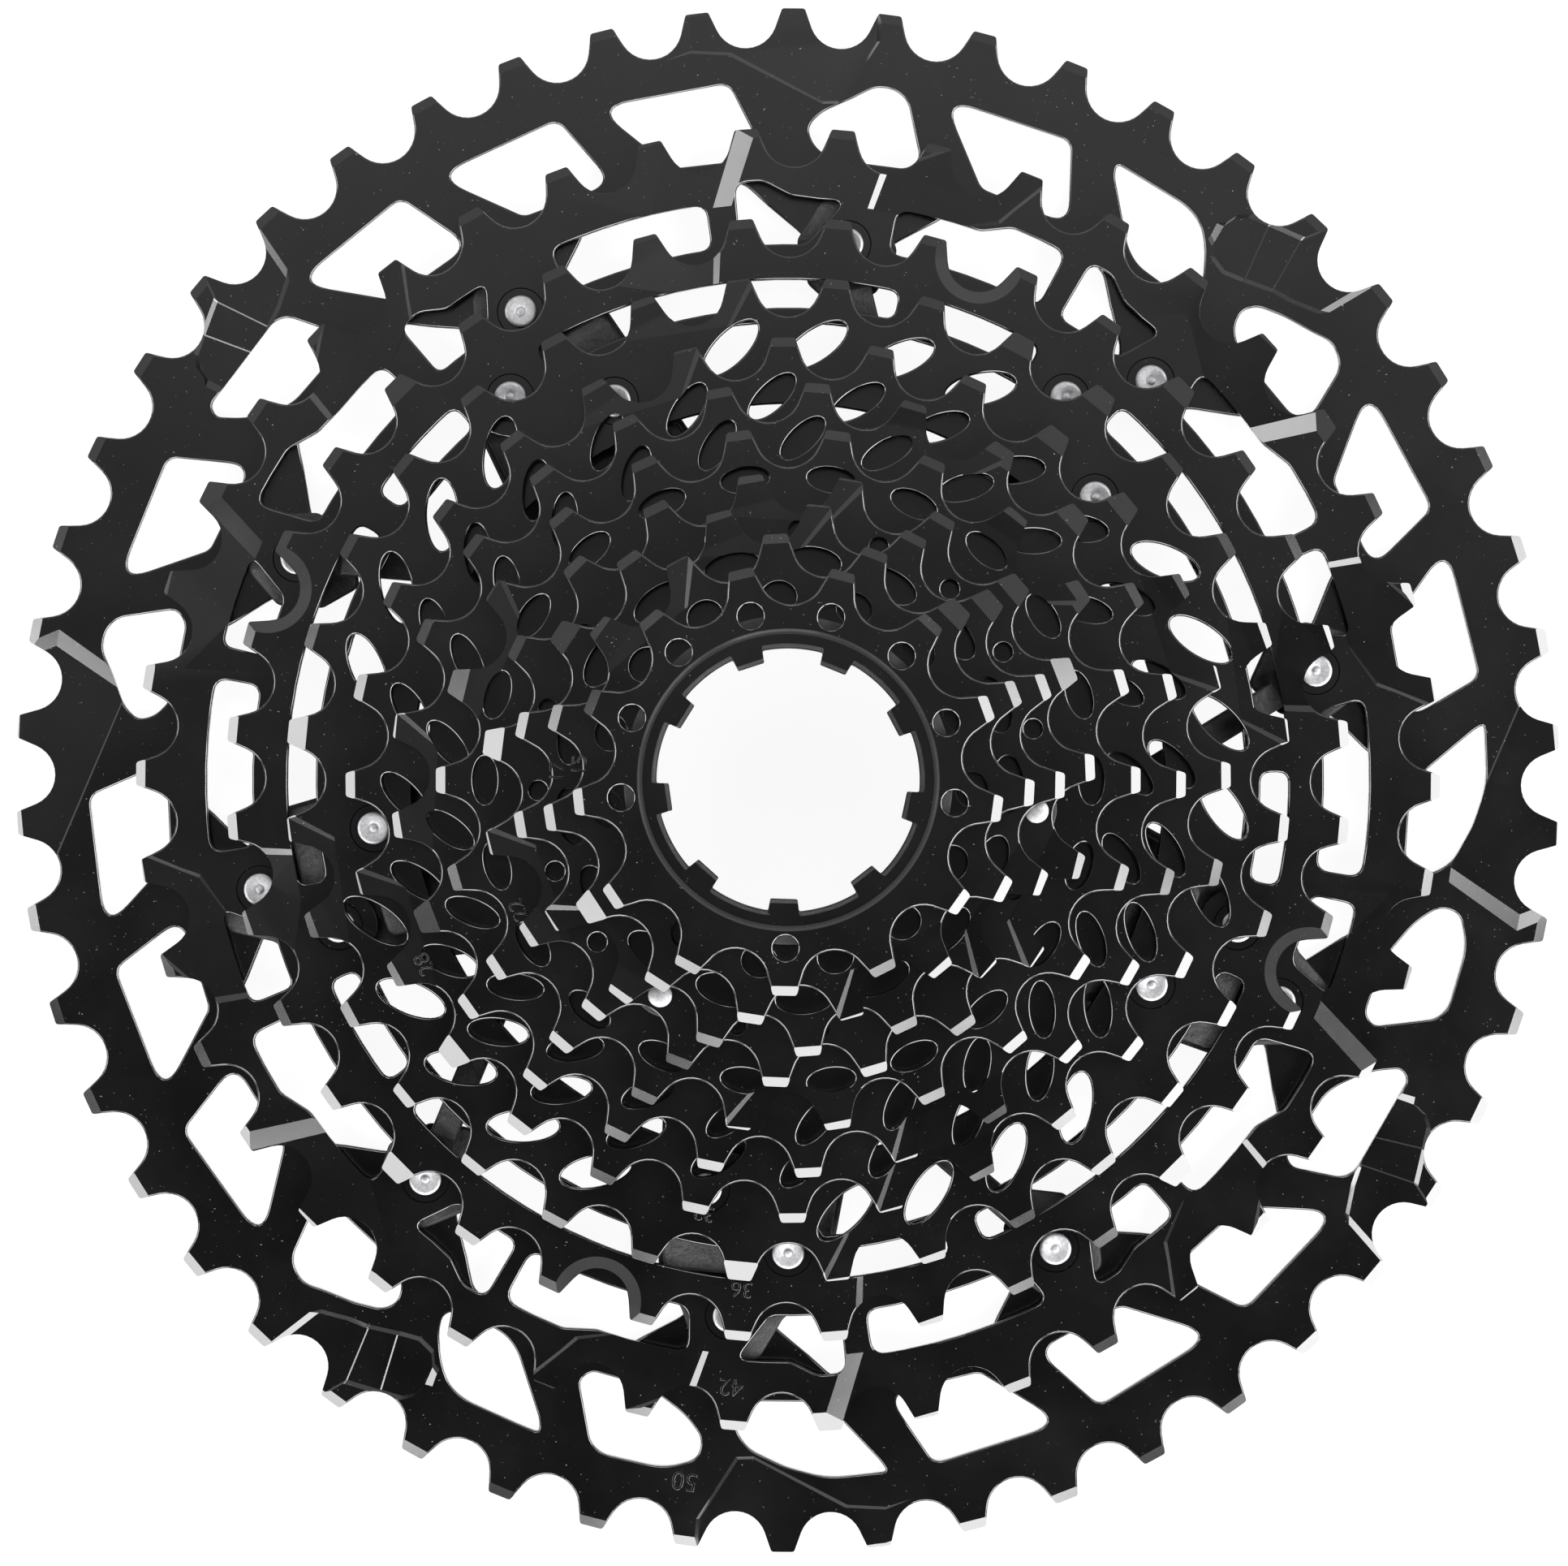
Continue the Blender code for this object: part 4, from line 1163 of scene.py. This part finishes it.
def make_numbers():
    """Raised tooth numbers with their feet towards the axis."""
    for teeth, (radius, angle, size) in NUMBERS.items():
        curve = bpy.data.curves.new("figures", "FONT")
        curve.body = f"{teeth}"
        curve.size = size * CAPITAL_SHARE
        curve.align_x = "CENTER"
        curve.align_y = "CENTER"
        curve.extrude = NUMBER_RAISE
        curve.bevel_depth = NUMBER_BEVEL
        curve.offset = NUMBER_THIN
        figures = linked("figures", curve)
        mesh = evaluated_mesh(figures)
        bpy.data.objects.remove(figures, do_unlink=True)
        weld(mesh)
        place = polar(radius, angle)
        highest = cad_box[1].z / MM - NUMBER_BEVEL - CLEAR
        middle = min(front_of(f"sprocket_{teeth}t") + CLEAR, highest) - NUMBER_RAISE
        mesh.transform(Matrix.Translation((place.x, place.y, middle))
                       @ Matrix.Rotation(radians(angle - 90.0), 4, "Z"))
        piece = linked(f"number_{teeth}", mesh)
        finish_piece(piece, BODY_OF.get(teeth, "cluster"), STEEL, [])


make_numbers()
make_sprockets()
make_spider()
make_fasteners()
make_spacers()


# ---- floor, light and camera ----
FLOOR_HALF = 1.5                 # metres from the middle to a side
FLOOR_DROP = 0.0002
FLOOR_GLOW = 0.93                # share of pure white in what the camera sees of the floor


def make_floor():
    """A pale floor that the camera sees almost pure white."""
    half = FLOOR_HALF
    floor = mesh_object("floor", [(-half, -half, 0), (half, -half, 0), (half, half, 0), (-half, half, 0)],
                        [(0, 1, 2, 3)])
    floor.location.z = -FLOOR_DROP
    material, tree, shader = node_material("pale_floor")
    with_inputs(shader, {"Base Color": (0.86, 0.86, 0.87, 1.0), "Roughness": 0.8})
    glow = with_inputs(tree.nodes.new("ShaderNodeEmission"),
                       {"Color": (1.0, 1.0, 1.0, 1.0), "Strength": 1.0})
    path = tree.nodes.new("ShaderNodeLightPath")
    mix = tree.nodes.new("ShaderNodeMixShader")
    share = calculated(tree, "MULTIPLY", path.outputs["Is Camera Ray"], FLOOR_GLOW)
    tree.links.new(share, mix.inputs["Fac"])
    tree.links.new(shader.outputs["BSDF"], mix.inputs[1])
    tree.links.new(glow.outputs["Emission"], mix.inputs[2])
    tree.links.new(mix.outputs["Shader"], tree.nodes["Material Output"].inputs["Surface"])
    floor.data.materials.append(material)


HORIZON = (0.25, 0.85)           # climb over which the sky goes from white to its overhead tone
OVERHEAD_SPAN = (-0.10, 0.10)    # from the near to the far side of straight overhead
OVERHEAD_FRONT = 0.02            # brightness straight overhead, on the near and the far side
OVERHEAD_BACK = 0.62
OVERHEAD_BEND = 3.0


def make_world():
    """Bright near the horizon and dim overhead, so flat faces stay dark and edges shine."""
    world = bpy.data.worlds.new("studio")
    bpy.context.scene.world = world
    world.use_nodes = True
    tree = world.node_tree
    background = tree.nodes["Background"]
    place = tree.nodes.new("ShaderNodeTexCoord")
    split = tree.nodes.new("ShaderNodeSeparateXYZ")
    tree.links.new(place.outputs["Generated"], split.inputs["Vector"])
    climb = remap(tree, split.outputs["Z"], *HORIZON, 0.0, 1.0)
    towards_back = remap(tree, split.outputs["Y"], *OVERHEAD_SPAN, 0.0, 1.0)
    bent = calculated(tree, "POWER", towards_back, OVERHEAD_BEND)
    overhead = remap(tree, bent, 0.0, 1.0, OVERHEAD_FRONT, OVERHEAD_BACK)
    mix = tree.nodes.new("ShaderNodeMix")
    mix.data_type = "RGBA"
    with_inputs(mix, {"A": (1.0, 1.0, 1.0, 1.0)})
    tree.links.new(overhead, mix.inputs["B"])
    tree.links.new(climb, mix.inputs["Factor"])
    tree.links.new(mix.outputs["Result"], background.inputs["Color"])
    with_inputs(background, {"Strength": 1.0})


LAMP_DISTANCE = 0.9
# Name, azimuth, elevation, size and power: the front ones fill the chamfers, the back ones the edges.
LAMPS = (
    ("front", 275.0, 48.0, 0.45, 7.5), ("front_left", 225.0, 48.0, 0.40, 5.0),
    ("front_right", 325.0, 48.0, 0.42, 8.0), ("left", 180.0, 46.0, 0.32, 3.2),
    ("right", 5.0, 48.0, 0.36, 5.5), ("back", 90.0, 60.0, 0.20, 1.0),
    ("back_left", 135.0, 60.0, 0.20, 0.9), ("back_right", 45.0, 60.0, 0.20, 0.9),
)


def area_light(name, azimuth, elevation, size, power):
    """A square lamp that looks at the middle of the part."""
    data = bpy.data.lights.new(name, "AREA")
    data.energy = power
    data.size = size
    lamp = linked(name, data)
    reach = LAMP_DISTANCE * cos(radians(elevation))
    lamp.location = (reach * cos(radians(azimuth)), reach * sin(radians(azimuth)),
                     LAMP_DISTANCE * sin(radians(elevation)))
    lamp.rotation_euler = (-Vector(lamp.location)).to_track_quat("-Z", "Y").to_euler()


CAMERA_PLACE = (-0.00054, -0.00038, 0.968)
CAMERA_LENS = 167.8              # in millimetres, for the sensor width
SENSOR_WIDTH = 36.0


def make_camera():
    """The camera straight above the part, with a long lens."""
    data = bpy.data.cameras.new("camera")
    data.lens = CAMERA_LENS
    data.sensor_width = SENSOR_WIDTH
    data.clip_start = 0.01
    camera = linked("camera", data)
    camera.location = CAMERA_PLACE
    bpy.context.scene.camera = camera


make_floor()
make_world()
for lamp in LAMPS:
    area_light(*lamp)
make_camera()
bpy.context.scene.view_settings.view_transform = "Standard"
